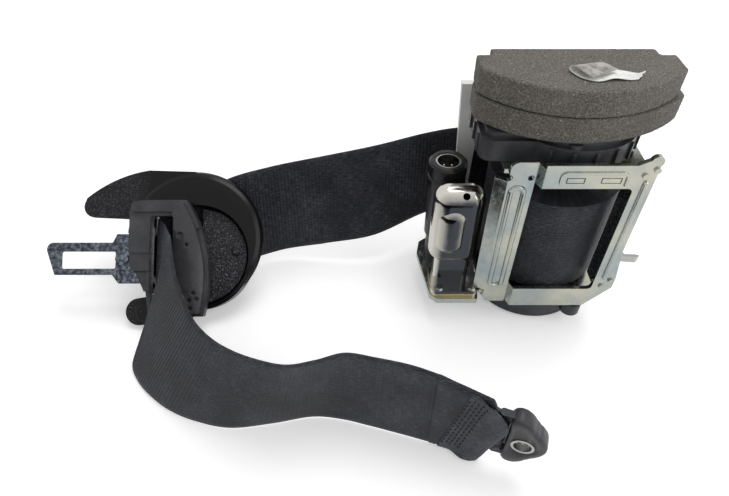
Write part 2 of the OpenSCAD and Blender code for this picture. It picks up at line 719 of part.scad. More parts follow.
// Spool with torsion bar, wound webbing and lock base
flange_r = 15;
bar_r = 5;
z_lock = z_roll_top + 2;
z_disc = z_up - 4;
core_end = 1.4;
spool_flange_t = 1.3;
flange_clear = 0.1;
bar_seat = 6;
bar_past = 10;
strap_slot = 3;
bar_neck_from = 11;
bar_neck_short = 14;
bar_neck = 1.2;
bar_foot = 1;
module spool() color("lightgray") difference() {
    union() {
        translate([0, 0, z_roll - core_end]) cylinder(h = web_w + 2 * core_end, r = core_r);
        for (z = [z_roll - core_end, z_roll_top + flange_clear])
            translate([0, 0, z]) cylinder(h = spool_flange_t, r = flange_r);
        translate([0, 0, z_base + 0.1]) cylinder(h = z_roll - z_base - 1, r = journal_r);
        translate([0, 0, cassette_wall + gap + 1]) cylinder(h = z_base, r = drive_r);
    }
    translate([0, 0, z_roll + bar_seat]) cylinder(h = web_w + bar_past, r = bar_r + seat_fit);
    translate([-core_r - over, -strap_slot, z_roll - flange_clear])
        cube([core_r - bar_r - bar_foot, strap_slot, web_w + 2 * flange_clear]);
}
module torsion_bar() color("silver") {
    translate([0, 0, z_roll + bar_seat]) cylinder(h = bar_seat, r = bar_r);
    translate([0, 0, z_roll + bar_neck_from])
        cylinder(h = z_disc - z_roll - bar_neck_short, r = bar_r - bar_neck);
    translate([0, 0, z_lock + bar_foot]) cylinder(h = z_disc - z_lock - bar_foot, r = bar_r);
}
module webbing_roll() color("#26272b") translate([0, 0, z_roll]) difference() {
    cylinder(h = web_w, r = roll_r);
    translate([0, 0, -over]) cylinder(h = web_w + 2 * over, r = core_r + seat_fit);
}
boss_top = z_up_top + 3.6;
module lock_base() color("darkgray") difference() {
    union() {
        translate([0, 0, z_lock]) cylinder(h = z_disc - z_lock, r = core_r);
        translate([0, 0, z_disc]) cylinder(h = z_up - gap - z_disc, r = tooth_tip_r - 2);
        translate([0, 0, z_disc]) cylinder(h = boss_top - z_disc, r = boss_r);
        translate([0, 0, z_disc]) cylinder(h = z_cover_top - cover_wall - gap - z_disc, r = pin_r);
        translate([pawl_pivot[0], pawl_pivot[1], z_disc])
            cylinder(h = z_up_top + 0.2 - z_disc, r = pawl_pin_r);
    }
    translate([0, 0, z_lock - over]) cylinder(h = z_disc - z_lock + over, r = bar_r + seat_fit);
}

// Lock pawl on its pin, with the peg that the control disc moves
peg_at = pawl_pivot + 0.45 * pawl_arm;
peg_r = 1.2;
pawl_neck = pawl_pivot + 0.7 * pawl_arm;
pawl_side = [pawl_arm[1], -pawl_arm[0]] / norm(pawl_arm);
module lock_pawl() color("gray") {
    translate([0, 0, z_up]) linear_extrude(plate_t) difference() {
        union() {
            translate(pawl_pivot) circle(pawl_pin_r + 1.8);
            slot_shape(pawl_pivot, pawl_neck, 1.3);
            polygon([pawl_neck + 1.3 * pawl_side, pawl_tip + 0.3 * pawl_side, pawl_tip - 0.3 * pawl_side,
                pawl_neck - 1.3 * pawl_side]);
        }
        translate(pawl_pivot) circle(pawl_pin_r + run_fit);
    }
    translate([peg_at[0], peg_at[1], z_up_top - over]) cylinder(h = 2 + over, r = peg_r);
}
disc_r = 15.5;
disc_t = 1.8;
disc_lift = 0.4;
disc_cut = [-24, 28];
disc_land = 3;
disc_hole_in = 4.4;
disc_hole_r = 2;
retainer_lift = 0.2;
retainer_t = 0.9;
retainer_w = 2.5;
module control_disc() color("ivory") translate([0, 0, z_up_top + disc_lift]) linear_extrude(disc_t)
    difference() {
    circle(disc_r);
    circle(boss_r + run_fit);
    sector(boss_r + disc_land, disc_r + 1, disc_cut[0], disc_cut[1]);
    for (a = [90 : 60 : 270]) rotate(a) translate([disc_r - disc_hole_in, 0]) circle(disc_hole_r);
}
module disc_retainer() color("silver") translate([0, 0, z_up_top + disc_lift + disc_t + retainer_lift])
    difference() {
    cylinder(h = retainer_t, r = boss_r + retainer_w);
    translate([0, 0, -over]) cylinder(h = disc_t + 2 * over, r = boss_r);
}

// Route of the free webbing: its two edges, from the roll to the folded end
edge_a = [[0, 28.9, 70.6], [-20, 28.9, 70.6], [-36, 28.9, 70.6], [-52, 28.5, 68], [-77, 28, 61],
    [-102, 25, 57],
    [-127, 22, 53], [-150, 22, 45], [-164, 16, 36], [-175, 4, 37], [-173, -7, 40], [-168, -17, 44],
        [-164, -28, 46],
    [-159, -42, 46], [-153, -54, 47], [-147, -65, 47], [-139, -74, 48], [-130, -80, 48], [-119, -85, 49],
    [-109, -87, 49], [-99, -85, 49], [-89, -82, 49], [-78, -84, 49], [-66, -87, 49], [-56, -91, 49]];
edge_b = [[0, 28.9, 22.6], [-20, 28.9, 22.6], [-36, 28.9, 22.6], [-52, 26, 20], [-77, 15, 15],
    [-102, 14, 10],
    [-127, 13, 5.5], [-152, 2, 3], [-166, -17, 3], [-175, -31, 7], [-177, -37, 11], [-181, -42, 10],
        [-184, -49, 5],
    [-185, -56, 2], [-181, -63, 1], [-174, -70, 1], [-164, -77, 1], [-152, -82, 1], [-137, -85, 1],
        [-120, -83, 1],
    [-104, -80, 1], [-92, -81, 1], [-80, -84, 1], [-66, -88, 1], [-56, -91, 1]];
route_steps = 3;
strap_split = 3;
function pick(p, i) = p[min(max(i, 0), len(p) - 1)];
function smooth(p, i, t) = let (a = pick(p, i - 1), b = pick(p, i), c = pick(p, i + 1), d = pick(p, i + 2))
    0.5 * (2 * b + t * (c - a) + t * t * (2 * a - 5 * b + 4 * c - d) + t * t * t * (3 * b - a - 3 * c + d));
function along(p) = concat([for (i = [0 : len(p) - 2], k = [0 : route_steps - 1])
    smooth(p, i, k / route_steps)],
    [p[len(p) - 1]]);
function unit(v) = v / norm(v);
// Ring of points round the strap at one station
function strap_ring(a, b, side) = concat([for (k = [0 : strap_split]) a + (b - a) * k / strap_split + side],
    [for (k = [strap_split : -1 : 0]) a + (b - a) * k / strap_split - side]);
module webbing() color("#26272b") {
    line_a = along(edge_a);
    line_b = along(edge_b);
    last = len(line_a) - 1;
    mid = (line_a + line_b) / 2;
    sides = 2 * (strap_split + 1);
    rings = [for (i = [0 : last]) let (way = unit(pick(mid, i + 1) - pick(mid, i - 1)))
        strap_ring(line_a[i], line_b[i], web_t / 2 * unit(cross(way, line_a[i] - line_b[i])))];
    polyhedron([for (r = rings) each r], concat([[for (k = [0 : sides - 1]) k]],
        [[for (k = [sides - 1 : -1 : 0]) last * sides + k]],
        [for (i = [0 : last - 1], k = [0 : sides - 1]) let (n = (k + 1) % sides)
            [i * sides + k, (i + 1) * sides + k, (i + 1) * sides + n]],
        [for (i = [0 : last - 1], k = [0 : sides - 1]) let (n = (k + 1) % sides)
            [i * sides + k, (i + 1) * sides + n, i * sides + n]]));
}

// Folded, stitched end of the webbing round the anchor's bar
end_at = [-56, -91, 1];
end_turn = -19;
fold_t = 2.8;
fold_taper = 10;
fold_end = 21.6;
fold_corner = 2.6;
loop_x = 24;
loop_low = 14;
loop_h = 20;
loop_wall = 1.4;
bar_pin_r = 1.6;
// Height that the folded top edge loses before the loop
fold_drop = 6.5;
module at_end() translate(end_at) rotate(end_turn) children();
module webbing_end() color("#26272b") at_end() difference() {
    union() {
        upright(-fold_t / 2, fold_t / 2) polygon([[gap, 0], [fold_end - fold_corner, 0],
            [fold_end, fold_corner],
            [fold_end, loop_low], [loop_x, loop_low], [loop_x, loop_low + loop_h],
                [fold_end, loop_low + loop_h],
            [fold_end, web_w - fold_drop - fold_corner], [fold_end - fold_corner, web_w - fold_drop],
            [fold_taper, web_w - fold_drop / 2], [gap, web_w]]);
        translate([loop_x, 0, loop_low]) cylinder(h = loop_h, r = bar_pin_r + loop_wall);
    }
    translate([loop_x, 0, loop_low - over]) cylinder(h = loop_h + 2 * over, r = bar_pin_r + run_fit);
}

// Anchor: plate with bar and eye, plastic cover and eye bush
eye_at = [33, 24];
eye_wall = 1;
arm_h = 3;
arm_x = loop_x + bar_pin_r + loop_wall + gap;
plate_eye_r = 6.6;
arm_low = loop_low - gap - arm_h;
arm_high = loop_low + loop_h + gap + arm_h;
// Room for the webbing's loop
module loop_room() translate([loop_x - arm_x, loop_low - gap])
    square([2 * arm_x - loop_x, loop_h + 2 * gap]);
module anchor_outline() {
    difference() {
        union() {
            polygon([[arm_x, arm_low], [eye_at[0], eye_at[1] - plate_eye_r],
                [eye_at[0], eye_at[1] + plate_eye_r],
                [arm_x, arm_high]]);
            translate(eye_at) circle(plate_eye_r);
        }
        loop_room();
    }
    for (z = [arm_low, arm_high - arm_h]) translate([loop_x, z]) square([arm_x + over - loop_x, arm_h]);
}
module anchor_plate() color("#2a2b2f") at_end() {
    upright(-anchor_t / 2, anchor_t / 2) difference() {
        anchor_outline();
        translate(eye_at) circle(eye_r + eye_wall);
    }
    translate([loop_x, 0, arm_low]) cylinder(h = arm_high - arm_low, r = bar_pin_r);
}
skin_t = 1.9;
module anchor_cover() color("#1d1e22") at_end() difference() {
    upright(-anchor_t / 2 - skin_t, anchor_t / 2 + skin_t) difference() {
        union() {
            polygon([[arm_x, arm_low - skin_t], [eye_at[0], eye_at[1] - plate_eye_r - skin_t],
                [eye_at[0], eye_at[1] + plate_eye_r + skin_t], [arm_x, arm_high + skin_t]]);
            translate(eye_at) circle(plate_eye_r + skin_t);
        }
        translate(eye_at) circle(eye_r + eye_wall);
        loop_room();
    }
    upright(-anchor_t / 2 - run_fit, anchor_t / 2 + run_fit) {
        anchor_outline();
        translate(eye_at) circle(plate_eye_r + run_fit);
    }
}
bush_proud = 0.3;
module anchor_bush() color("gainsboro") at_end() translate([eye_at[0], 0, eye_at[1]]) rotate([90, 0, 0])
    difference() {
    cylinder(h = anchor_t + 2 * (skin_t + bush_proud), r = eye_r + eye_wall - seat_fit, center = true);
    cylinder(h = anchor_t + 2 * (skin_t + bush_proud + over), r = eye_r, center = true);
}

// Tongue and bezel share a leaning frame: X along the blade, Y along the belt slot, Z out of the face
slot_at = [-171, -15, 21.5];
lean = 41;
module at_tongue() translate(slot_at) rotate([lean, 0, 0]) children();
bezel_at = [8, 14];
bezel_wall = 1.8;
lip_w = 6;
lip_drop = 3;
// Pocket for the grained panel, off centre in the disc
pocket_at = [10, 6];
pocket_r = 24;
// The disc stops short behind the blade
disc_left = -18;
disc_notch = 17;
fin_t = 2;
fin_tip = [-40, 29.6];
fin_r = 5.2;
fin_arc_at = [-5, -12.5];
fin_arc_r = 60.4;
wing_at = [-17.5, -20.5];
wing_r = 6.4;
// Belt slot through the pocket's floor: left, low, right, high
belt_cut = [-9.5, -25, 11, 32.5];
mouth_w = 12.5;
mouth_l = 52.5;
module fin_shape() intersection() {
    translate(fin_arc_at) circle(fin_arc_r);
    union() {
        translate(fin_tip) circle(fin_r);
        polygon([[fin_tip[0], fin_tip[1] - fin_r], [bezel_at[0], disc_notch + fin_r],
            [bezel_at[0], bezel_at[1] + bezel_r],
            [fin_tip[0], fin_arc_at[1] + fin_arc_r], [fin_tip[0] - fin_r, fin_tip[1]]]);
    }
}
module disc_trim() difference() {
    translate([bezel_at[0] - 2 * bezel_r, bezel_at[1] - 2 * bezel_r]) square([4 * bezel_r, 4 * bezel_r]);
    translate([disc_left - 2 * bezel_r, disc_notch - 4 * bezel_r]) square([2 * bezel_r, 4 * bezel_r]);
}
// Trim bezel: convex rim, off-centre pocket with the belt slot, and two wings
module bezel() color("#17181b") at_tongue() difference() {
    union() {
        intersection() {
            translate(bezel_at) rotate_extrude() polygon([[0, -bezel_wall], [bezel_r - lip_w, -bezel_wall],
                [bezel_r - bezel_wall, -lip_drop - bezel_wall / 2],
                    [bezel_r - bezel_wall / 2, -lip_drop - bezel_wall],
                [bezel_r, -lip_drop], [bezel_r - 1.2, -lip_drop / 2], [bezel_r - lip_w / 2, -lip_drop / 6],
                [bezel_r - lip_w, 0], [0, 0]]);
            translate([0, 0, -bezel_depth - lip_drop]) linear_extrude(2 * bezel_depth) disc_trim();
        }
        translate([pocket_at[0], pocket_at[1], -bezel_depth]) cylinder(h = bezel_depth - bezel_wall / 2,
            r = pocket_r + bezel_wall);
        translate([0, 0, -lip_drop - fin_t / 2]) linear_extrude(fin_t) difference() {
            union() {
                fin_shape();
                slot_shape(wing_at, [bezel_at[0], wing_at[1] + 4], wing_r);
            }
            translate(bezel_at) circle(bezel_r - bezel_wall - 0.4);
        }
    }
    translate([pocket_at[0], pocket_at[1], -bezel_depth + bezel_wall]) cylinder(h = bezel_depth,
        r1 = pocket_r - 1,
        r2 = pocket_r + 0.3);
    translate([belt_cut[0], belt_cut[1], -bezel_depth - over])
        cube([belt_cut[2] - belt_cut[0], belt_cut[3] - belt_cut[1], bezel_depth - bezel_wall]);
    // Mouth of the slot in the rim, behind the tongue
    translate([belt_cut[0], belt_cut[1], -bezel_depth]) cube([mouth_w, mouth_l, 2 * bezel_depth]);
}
// Grained panel in the right half of the pocket
panel_t = 2.6;
panel_boss = [17.6, 2.2];
module bezel_insert() color("#26282c") at_tongue()
    translate([pocket_at[0], pocket_at[1], -bezel_depth + bezel_wall]) {
        linear_extrude(panel_t) intersection() {
            circle(pocket_r - 1.4);
            translate([belt_cut[2] - pocket_at[0] + gap, -pocket_r]) square([pocket_r, 2 * pocket_r]);
        }
        translate([panel_boss[0], panel_boss[1], panel_t]) cylinder(h = 1.2, r1 = 2.4, r2 = 1.5);
    }

// Slip tongue: moulded body with the belt slot, and the steel blade
body_left = -20;
body_high = 31.5;
body_floor = 0.6;
body_t = 5.8;
// Belt slot between the side plate and the bar
belt_slot = [-10.3, 0.8];
slot_high = 24;
slot_low = -26;
// Stock that the slot cuts away on each side
slot_trim = 1;
// Bar beside the slot: outer edge is an arc
bar_right = 16.8;
bar_low = -22.5;
bar_arc_r = 68;
bar_arc_y = -5;
bar_crown_r = 15;
bar_crown_z = 9.8;
bar_step = 1.5;
bar_corner = 5;
head_r = 5.6;
head_deep = 6;
rim_drop = 1.4;
band_rise = 1.6;
band_w = 5;
band_right = 5;
bridge_t = 2.6;
bridge_low = -29;
blade_y = 4.2;
blade_z = body_floor + 1.6;
blade_root = -12;
blade_tip = body_left - blade_out;
window_h = 8;
window_at = blade_tip + 6;
window_l = 26;
shoulder = 4;
boss_lift = 0.8;
blade_boss_r = 3;
boss_at = 3.4;
module blade_outline() difference() {
    union() {
        // Tip slants back towards its lower corner
        intersection() {
            round_rect(blade_tip, blade_y - blade_w / 2, body_left + 4, blade_y + blade_w / 2, 3);
            polygon([[blade_tip, blade_y + blade_w], [blade_tip, blade_y + blade_w / 4],
                [blade_tip + 4, blade_y - blade_w / 2 - over],
                    [body_left + 5, blade_y - blade_w / 2 - over],
                [body_left + 5, blade_y + blade_w]]);
        }
        polygon([[body_left - 8, blade_y - blade_w / 2], [body_left - 5, blade_y - blade_w / 2 - shoulder],
            [blade_root, blade_y - blade_w / 2 - shoulder], [blade_root, blade_y + blade_w / 2 + shoulder],
            [body_left - 6, blade_y + blade_w / 2 + shoulder], [body_left - 8, blade_y + blade_w / 2]]);
    }
    round_rect(window_at, blade_y - window_h / 2 - 0.6, window_at + window_l,
        blade_y + window_h / 2 - 0.6, 1);
}
module tongue_blade() color("silver") at_tongue() {
    translate([0, 0, blade_z]) linear_extrude(blade_t) blade_outline();
    translate([body_left - boss_at, blade_y, blade_z + blade_t]) cylinder(h = boss_lift, r = blade_boss_r);
}
// What lies within the bar's outer arc, up to a height over the floor
module within_arc(inset, high) intersection() {
    translate([bar_right - bar_arc_r, bar_arc_y, body_floor]) cylinder(h = high, r = bar_arc_r - inset);
    translate([0, 0, body_floor - over]) linear_extrude(high + 2 * over) children();
}
module bar_shape(inset) round_rect(belt_slot[1] - slot_trim, bar_low + inset, bar_right + 4,
    body_high - inset,
    bar_corner - inset);
// Side plate, left of the slot
module plate_shape() {
    round_rect(body_left, -3, belt_slot[0] + 4 * slot_trim, body_high, 6);
    polygon([[body_left + 1, 8], [body_left + 1, 2], [body_left + 7, -11], [belt_slot[0] + slot_trim, -11],
        [belt_slot[0] + slot_trim, 8]]);
}
pits = [[4.6, 14.8, 1.3], [7.7, 10.3, 0.8], [11, -11.6, 0.8], [9.2, -15, 1], [12.4, -14.4, 1],
    [9.8, -18.6, 0.9]];
pit_d = 1;
steps_at = [6.8, -1.5];
step_h = 0.7;
// Plain square end of the side plate's lower steps
step_reach = 30;
module tongue_body() color("#202125") at_tongue() difference() {
    union() {
        translate([0, 0, body_floor]) linear_extrude(body_t) plate_shape();
        within_arc(0, body_t - rim_drop) bar_shape(0);
        intersection() {
            within_arc(bar_step, bar_crown_z) bar_shape(bar_step);
            translate([(belt_slot[1] + bar_right) / 2 - 1, 0, bar_crown_z - bar_crown_r]) rotate([90, 0, 0])
                cylinder(h = 4 * body_high, r = bar_crown_r, center = true);
        }
        // Head across the top with its raised band
        within_arc(0, body_t) round_rect(body_left, slot_high - head_deep, bar_right, body_high, head_r);
        translate([0, 0, body_floor]) linear_extrude(body_t + band_rise)
            round_rect(body_left + 1.2, body_high - band_w - 0.8, band_right, body_high - 0.8, 2);
        // Foot that closes the slot under the belt
        translate([0, 0, body_floor]) linear_extrude(bridge_t) {
            polygon([[body_left + 7, -10], [belt_slot[0] + slot_trim, -10],
                [belt_slot[0] + slot_trim, bridge_low],
                [body_left + 9, bridge_low + 3]]);
            translate([belt_slot[0] - over, bridge_low])
                square([belt_slot[1] + 8 - belt_slot[0], slot_low + slot_trim - bridge_low]);
            translate([belt_slot[1] - slot_trim, bridge_low])
                square([8 + slot_trim, bar_low + 4 - bridge_low]);
        }
    }
    translate([0, 0, body_floor - over]) linear_extrude(bar_crown_z + over)
        round_rect(belt_slot[0], slot_low, belt_slot[1], slot_high, 1.5);
    translate([0, 0, blade_z - run_fit]) linear_extrude(blade_t + 2 * run_fit) blade_outline();
    for (p = pits) translate([p[0], p[1], bar_crown_z - pit_d - 0.4]) cylinder(h = bar_crown_z, r = p[2]);
    for (y = steps_at)
        translate([body_left - over, y - step_reach, body_floor + body_t - step_h * (y > 0 ? 1 : 2)])
        cube([belt_slot[0] - body_left + over + slot_trim, step_reach, body_t]);
}

frame();
front_plate();
lower_bush();
upper_bush();
frame_rivets();
side_clip();
webbing_guide();
lock_cover();
cover_screws();
sensor_housing();
sensor_ball();
sensor_lever();
foam_lower();
foam_upper();
spring_housing();
spring_cover();
return_spring();
spring_arbor();
pretensioner_base();
gas_manifold();
manifold_gasket();
manifold_rivets();
generator_body();
generator_cap();
connector_ring();
igniter_pins();
drive_rotor();
clutch_rollers();
spool();
torsion_bar();
webbing_roll();
lock_base();
lock_pawl();
control_disc();
disc_retainer();
webbing();
webbing_end();
anchor_plate();
anchor_cover();
anchor_bush();
bezel();
bezel_insert();
tongue_blade();
tongue_body();
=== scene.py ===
import json
import math
import random

import bmesh
import bpy
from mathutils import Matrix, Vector


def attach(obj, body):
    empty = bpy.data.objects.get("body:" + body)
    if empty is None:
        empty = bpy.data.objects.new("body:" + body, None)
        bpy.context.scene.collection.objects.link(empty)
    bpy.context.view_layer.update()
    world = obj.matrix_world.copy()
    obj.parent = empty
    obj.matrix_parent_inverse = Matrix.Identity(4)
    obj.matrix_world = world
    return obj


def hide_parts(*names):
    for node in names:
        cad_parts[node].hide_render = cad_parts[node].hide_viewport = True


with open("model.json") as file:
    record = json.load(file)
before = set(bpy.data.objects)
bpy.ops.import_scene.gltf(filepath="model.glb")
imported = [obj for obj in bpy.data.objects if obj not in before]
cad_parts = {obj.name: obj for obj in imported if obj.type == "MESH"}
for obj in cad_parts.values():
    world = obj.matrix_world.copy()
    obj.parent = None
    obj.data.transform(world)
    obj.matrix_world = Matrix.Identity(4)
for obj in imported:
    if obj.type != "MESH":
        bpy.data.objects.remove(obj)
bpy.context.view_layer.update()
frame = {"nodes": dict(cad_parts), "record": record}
scene = bpy.context.scene
MM = 0.001

# Camera at the photograph's viewing angle
PHOTO_W = 729
FOCAL_PX = 567
SENSOR_MM = 36
CAMERA_AT = (-0.082, -0.198, 0.217)
CAMERA_PITCH = 44.85


def make_camera():
    data = bpy.data.cameras.new("camera")
    data.sensor_fit = "HORIZONTAL"
    data.sensor_width = SENSOR_MM
    data.lens = FOCAL_PX * SENSOR_MM / PHOTO_W
    data.clip_start = 0.01
    camera = bpy.data.objects.new("camera", data)
    camera.location = CAMERA_AT
    camera.rotation_euler = (math.radians(90 - CAMERA_PITCH), 0, 0)
    scene.collection.objects.link(camera)
    scene.camera = camera


make_camera()


# Places of the colour sockets on a mix node
MIX_LOW, MIX_HIGH, MIX_COLOR = 6, 7, 2


# Node helpers for the materials
class Shader:
    """One material's node tree, with short calls for the nodes that the materials share."""

    def __init__(self, name, color, rough, metal=0.0):
        self.mat = bpy.data.materials.new(name)
        self.mat.use_nodes = True
        self.tree = self.mat.node_tree
        self.bsdf = self.tree.nodes["Principled BSDF"]
        self.bsdf.inputs["Base Color"].default_value = (*color, 1)
        self.bsdf.inputs["Roughness"].default_value = rough
        self.bsdf.inputs["Metallic"].default_value = metal
        self.coord = self.add("ShaderNodeTexCoord")

    def add(self, kind, **values):
        node = self.tree.nodes.new(kind)
        for key, value in values.items():
            if hasattr(node, key):
                setattr(node, key, value)
            else:
                node.inputs[key.replace("_", " ")].default_value = value
        return node

    def link(self, out, into):
        self.tree.links.new(out, into)

    def space(self, stretch, source="Object"):
        mapping = self.add("ShaderNodeMapping")
        mapping.inputs["Scale"].default_value = stretch
        self.link(self.coord.outputs[source], mapping.inputs["Vector"])
        return mapping.outputs["Vector"]

    def noise(self, scale, detail=3.0, rough=0.5, vector=None):
        node = self.add("ShaderNodeTexNoise", Scale=scale, Detail=detail, Roughness=rough)
        self.link(vector or self.coord.outputs["Object"], node.inputs["Vector"])
        return node.outputs["Fac"]

    def cells(self, scale):
        node = self.add("ShaderNodeTexVoronoi", Scale=scale)
        self.link(self.coord.outputs["Object"], node.inputs["Vector"])
        return node.outputs["Distance"]

    def along_x(self):
        split = self.add("ShaderNodeSeparateXYZ")
        self.link(self.coord.outputs["Object"], split.inputs["Vector"])
        return split.outputs["X"]

    def put(self, value, socket):
        """Sets a socket to a plain value, or links an output to it."""
        if isinstance(value, bpy.types.NodeSocket):
            self.link(value, socket)
        else:
            socket.default_value = value

    def ramp(self, fac, stops):
        node = self.add("ShaderNodeValToRGB")
        first, last = node.color_ramp.elements
        first.position, last.position = stops[0][0], stops[-1][0]
        first.color, last.color = (*stops[0][1], 1), (*stops[-1][1], 1)
        for place, color in stops[1:-1]:
            node.color_ramp.elements.new(place).color = (*color, 1)
        self.link(fac, node.inputs["Fac"])
        return node.outputs["Color"]

    def levels(self, fac, low, high, from_low=0.3, from_high=0.7):
        node = self.add("ShaderNodeMapRange")
        node.inputs["From Min"].default_value = from_low
        node.inputs["From Max"].default_value = from_high
        node.inputs["To Min"].default_value = low
        node.inputs["To Max"].default_value = high
        self.link(fac, node.inputs["Value"])
        return node.outputs["Result"]

    def math(self, kind, a, b):
        node = self.add("ShaderNodeMath", operation=kind)
        self.put(a, node.inputs[0])
        self.put(b, node.inputs[1])
        return node.outputs[0]

    def mix(self, fac, low, high):
        """Blend of two colours, from the low one at 0 to the high one at 1."""
        node = self.add("ShaderNodeMix", data_type="RGBA")
        self.link(fac, node.inputs["Factor"])
        self.put(low, node.inputs[MIX_LOW])
        self.put(high, node.inputs[MIX_HIGH])
        return node.outputs[MIX_COLOR]

    def color_from(self, out):
        self.link(out, self.bsdf.inputs["Base Color"])

    def rough_from(self, out):
        self.link(out, self.bsdf.inputs["Roughness"])

    def bump(self, height, distance, strength):
        node = self.add("ShaderNodeBump", Strength=strength, Distance=distance)
        self.link(height, node.inputs["Height"])
        if self.bsdf.inputs["Normal"].is_linked:
            self.link(self.bsdf.inputs["Normal"].links[0].from_socket, node.inputs["Normal"])
        self.link(node.outputs["Normal"], self.bsdf.inputs["Normal"])

    def soft_edges(self, radius):
        node = self.add("ShaderNodeBevel", samples=4)
        node.inputs["Radius"].default_value = radius
        self.link(node.outputs["Normal"], self.bsdf.inputs["Normal"])

    def set(self, **values):
        for key, value in values.items():
            self.bsdf.inputs[key.replace("_", " ")].default_value = value


def shade(color, share):
    """A colour made darker or paler by one share, and no brighter than white."""
    return [min(1, c * share) for c in color]


def halfway(a, b):
    return [(p + q) / 2 for p, q in zip(a, b)]


# Radius to which sharp edges are seen as broken
EDGE_R = 0.35 * MM


def plated_steel(name, cool, warm, rough):
    """Zinc-plated sheet: cool and warm patches, fine rolling lines and small scuffs."""
    s = Shader(name, cool, rough, metal=1.0)
    patches = s.noise(38, detail=4, rough=0.6)
    s.color_from(s.ramp(patches, [(0.36, cool), (0.52, halfway(cool, warm)), (0.66, warm)]))
    scuffs = s.noise(420, detail=6, rough=0.7)
    s.rough_from(s.levels(scuffs, rough - 0.07, rough + 0.16))
    s.soft_edges(EDGE_R)
    lines = s.noise(900, detail=2, vector=s.space((1, 1, 0.06)))
    s.bump(lines, 0.03 * MM, 0.35)
    dents = s.noise(160, detail=3)
    s.bump(dents, 0.12 * MM, 0.25)
    return s.mat


def bright_steel(name, color, rough):
    """Drawn or turned steel: nearly smooth, with drawing lines and fingermarks."""
    s = Shader(name, color, rough, metal=1.0)
    tone = s.noise(70, detail=5, rough=0.6)
    s.color_from(s.ramp(tone, [(0.3, shade(color, 0.78)), (0.6, color), (0.8, shade(color, 1.1))]))
    marks = s.noise(260, detail=6)
    s.rough_from(s.levels(marks, rough - 0.05, rough + 0.16))
    lines = s.noise(1500, detail=2, vector=s.space((1, 1, 0.08)))
    s.bump(lines, 0.02 * MM, 0.3)
    return s.mat


def painted_reflection_shell(name, face, rim, rough):
    """Deep-drawn steel with painted reflections: dark on faces turned to the front, a bright painted
    highlight where the shell turns away.
    """
    s = Shader(name, rim, rough, metal=1.0)
    # Painted reflection: faces turned to the front (-y) take the dark colour face, those turned away take
    # the bright colour rim as a painted highlight; the noise only roughens the border between them.
    front = s.add("ShaderNodeVectorMath", operation="DOT_PRODUCT")
    s.link(s.coord.outputs["Normal"], front.inputs[0])
    front.inputs[1].default_value = (0, -1, 0)
    painted_reflection_wobble = s.noise(55, detail=5, rough=0.65, vector=s.space((1, 1, 0.35)))
    painted_reflection_mask = s.math("ADD", front.outputs["Value"], s.math("MULTIPLY", painted_reflection_wobble, 0.24))
    stops = [(0.5, rim), (0.86, halfway(face, rim)), (0.97, face)]
    s.color_from(s.ramp(s.math("SUBTRACT", painted_reflection_mask, 0.12), stops))
    marks = s.noise(240, detail=6)
    s.rough_from(s.levels(marks, rough - 0.03, rough + 0.12))
    dents = s.noise(130, detail=3)
    s.bump(dents, 0.1 * MM, 0.25)
    return s.mat


def moulded(name, color, rough, grain=1600, depth=0.04 * MM, spread=0.25, edge=EDGE_R):
    """Moulded plastic with a spark-eroded grain and handling marks."""
    s = Shader(name, color, rough)
    tone = s.noise(90, detail=5, rough=0.6)
    s.color_from(s.ramp(tone, [(0.3, shade(color, 1 - spread)), (0.7, shade(color, 1 + spread))]))
    marks = s.noise(300, detail=5)
    s.rough_from(s.levels(marks, rough - 0.08, rough + 0.1))
    s.soft_edges(edge)
    s.bump(s.noise(grain, detail=2, rough=0.6), depth, 0.6)
    s.set(Specular_IOR_Level=0.28)
    return s.mat


# Half the width over which the grain fades out, and the roughness of the polish beyond it
BLEND = 5 * MM
POLISHED = 0.24


def grained(name, color, rough, grain_to=None):
    """Coarse grained moulding. Where grain_to gives an x, it is polished to the right of that."""
    s = Shader(name, color, rough)
    grain = s.noise(1500, detail=3, rough=0.65)
    speck = s.ramp(grain, [(0.4, shade(color, 0.35)), (0.56, shade(color, 1.4)), (0.68, shade(color, 7.5))])
    s.soft_edges(2 * EDGE_R)
    if grain_to is None:
        s.color_from(speck)
        s.bump(grain, 0.22 * MM, 0.8)
    else:
        mask = s.levels(s.along_x(), 1, 0, grain_to - BLEND, grain_to + BLEND)
        s.color_from(s.mix(mask, (*shade(color, 0.35), 1), speck))
        s.rough_from(s.levels(mask, POLISHED, rough, 0, 1))
        s.bump(s.math("MULTIPLY", grain, mask), 0.26 * MM, 0.9)
        s.bump(s.noise(60, detail=2), 0.1 * MM, 0.3)
    s.set(Specular_IOR_Level=0.18)
    return s.mat


# Width over which the blade's black coat begins
COAT_BLEND = 0.5 * MM


def galvanised(name, coated_from):
    """Hot-dipped blade: blue-grey blooms and dark scratches, and a black coat right of the given x."""
    dark, grey, pale = (0.028, 0.033, 0.046), (0.075, 0.085, 0.105), (0.2, 0.222, 0.25)
    coat = (0.012, 0.012, 0.014, 1)
    s = Shader(name, (0.16, 0.18, 0.22), 0.34, metal=1.0)
    bloom = s.noise(560, detail=5, rough=0.65)
    zinc = s.ramp(bloom, [(0.38, dark), (0.5, grey), (0.66, pale)])
    coated = s.levels(s.along_x(), 0, 1, coated_from - COAT_BLEND, coated_from)
    s.color_from(s.mix(coated, zinc, coat))
    s.rough_from(s.levels(bloom, 0.42, 0.24))
    s.soft_edges(EDGE_R)
    scratches = s.noise(900, detail=2, vector=s.space((0.08, 1, 1)))
    s.bump(scratches, 0.02 * MM, 0.3)
    return s.mat


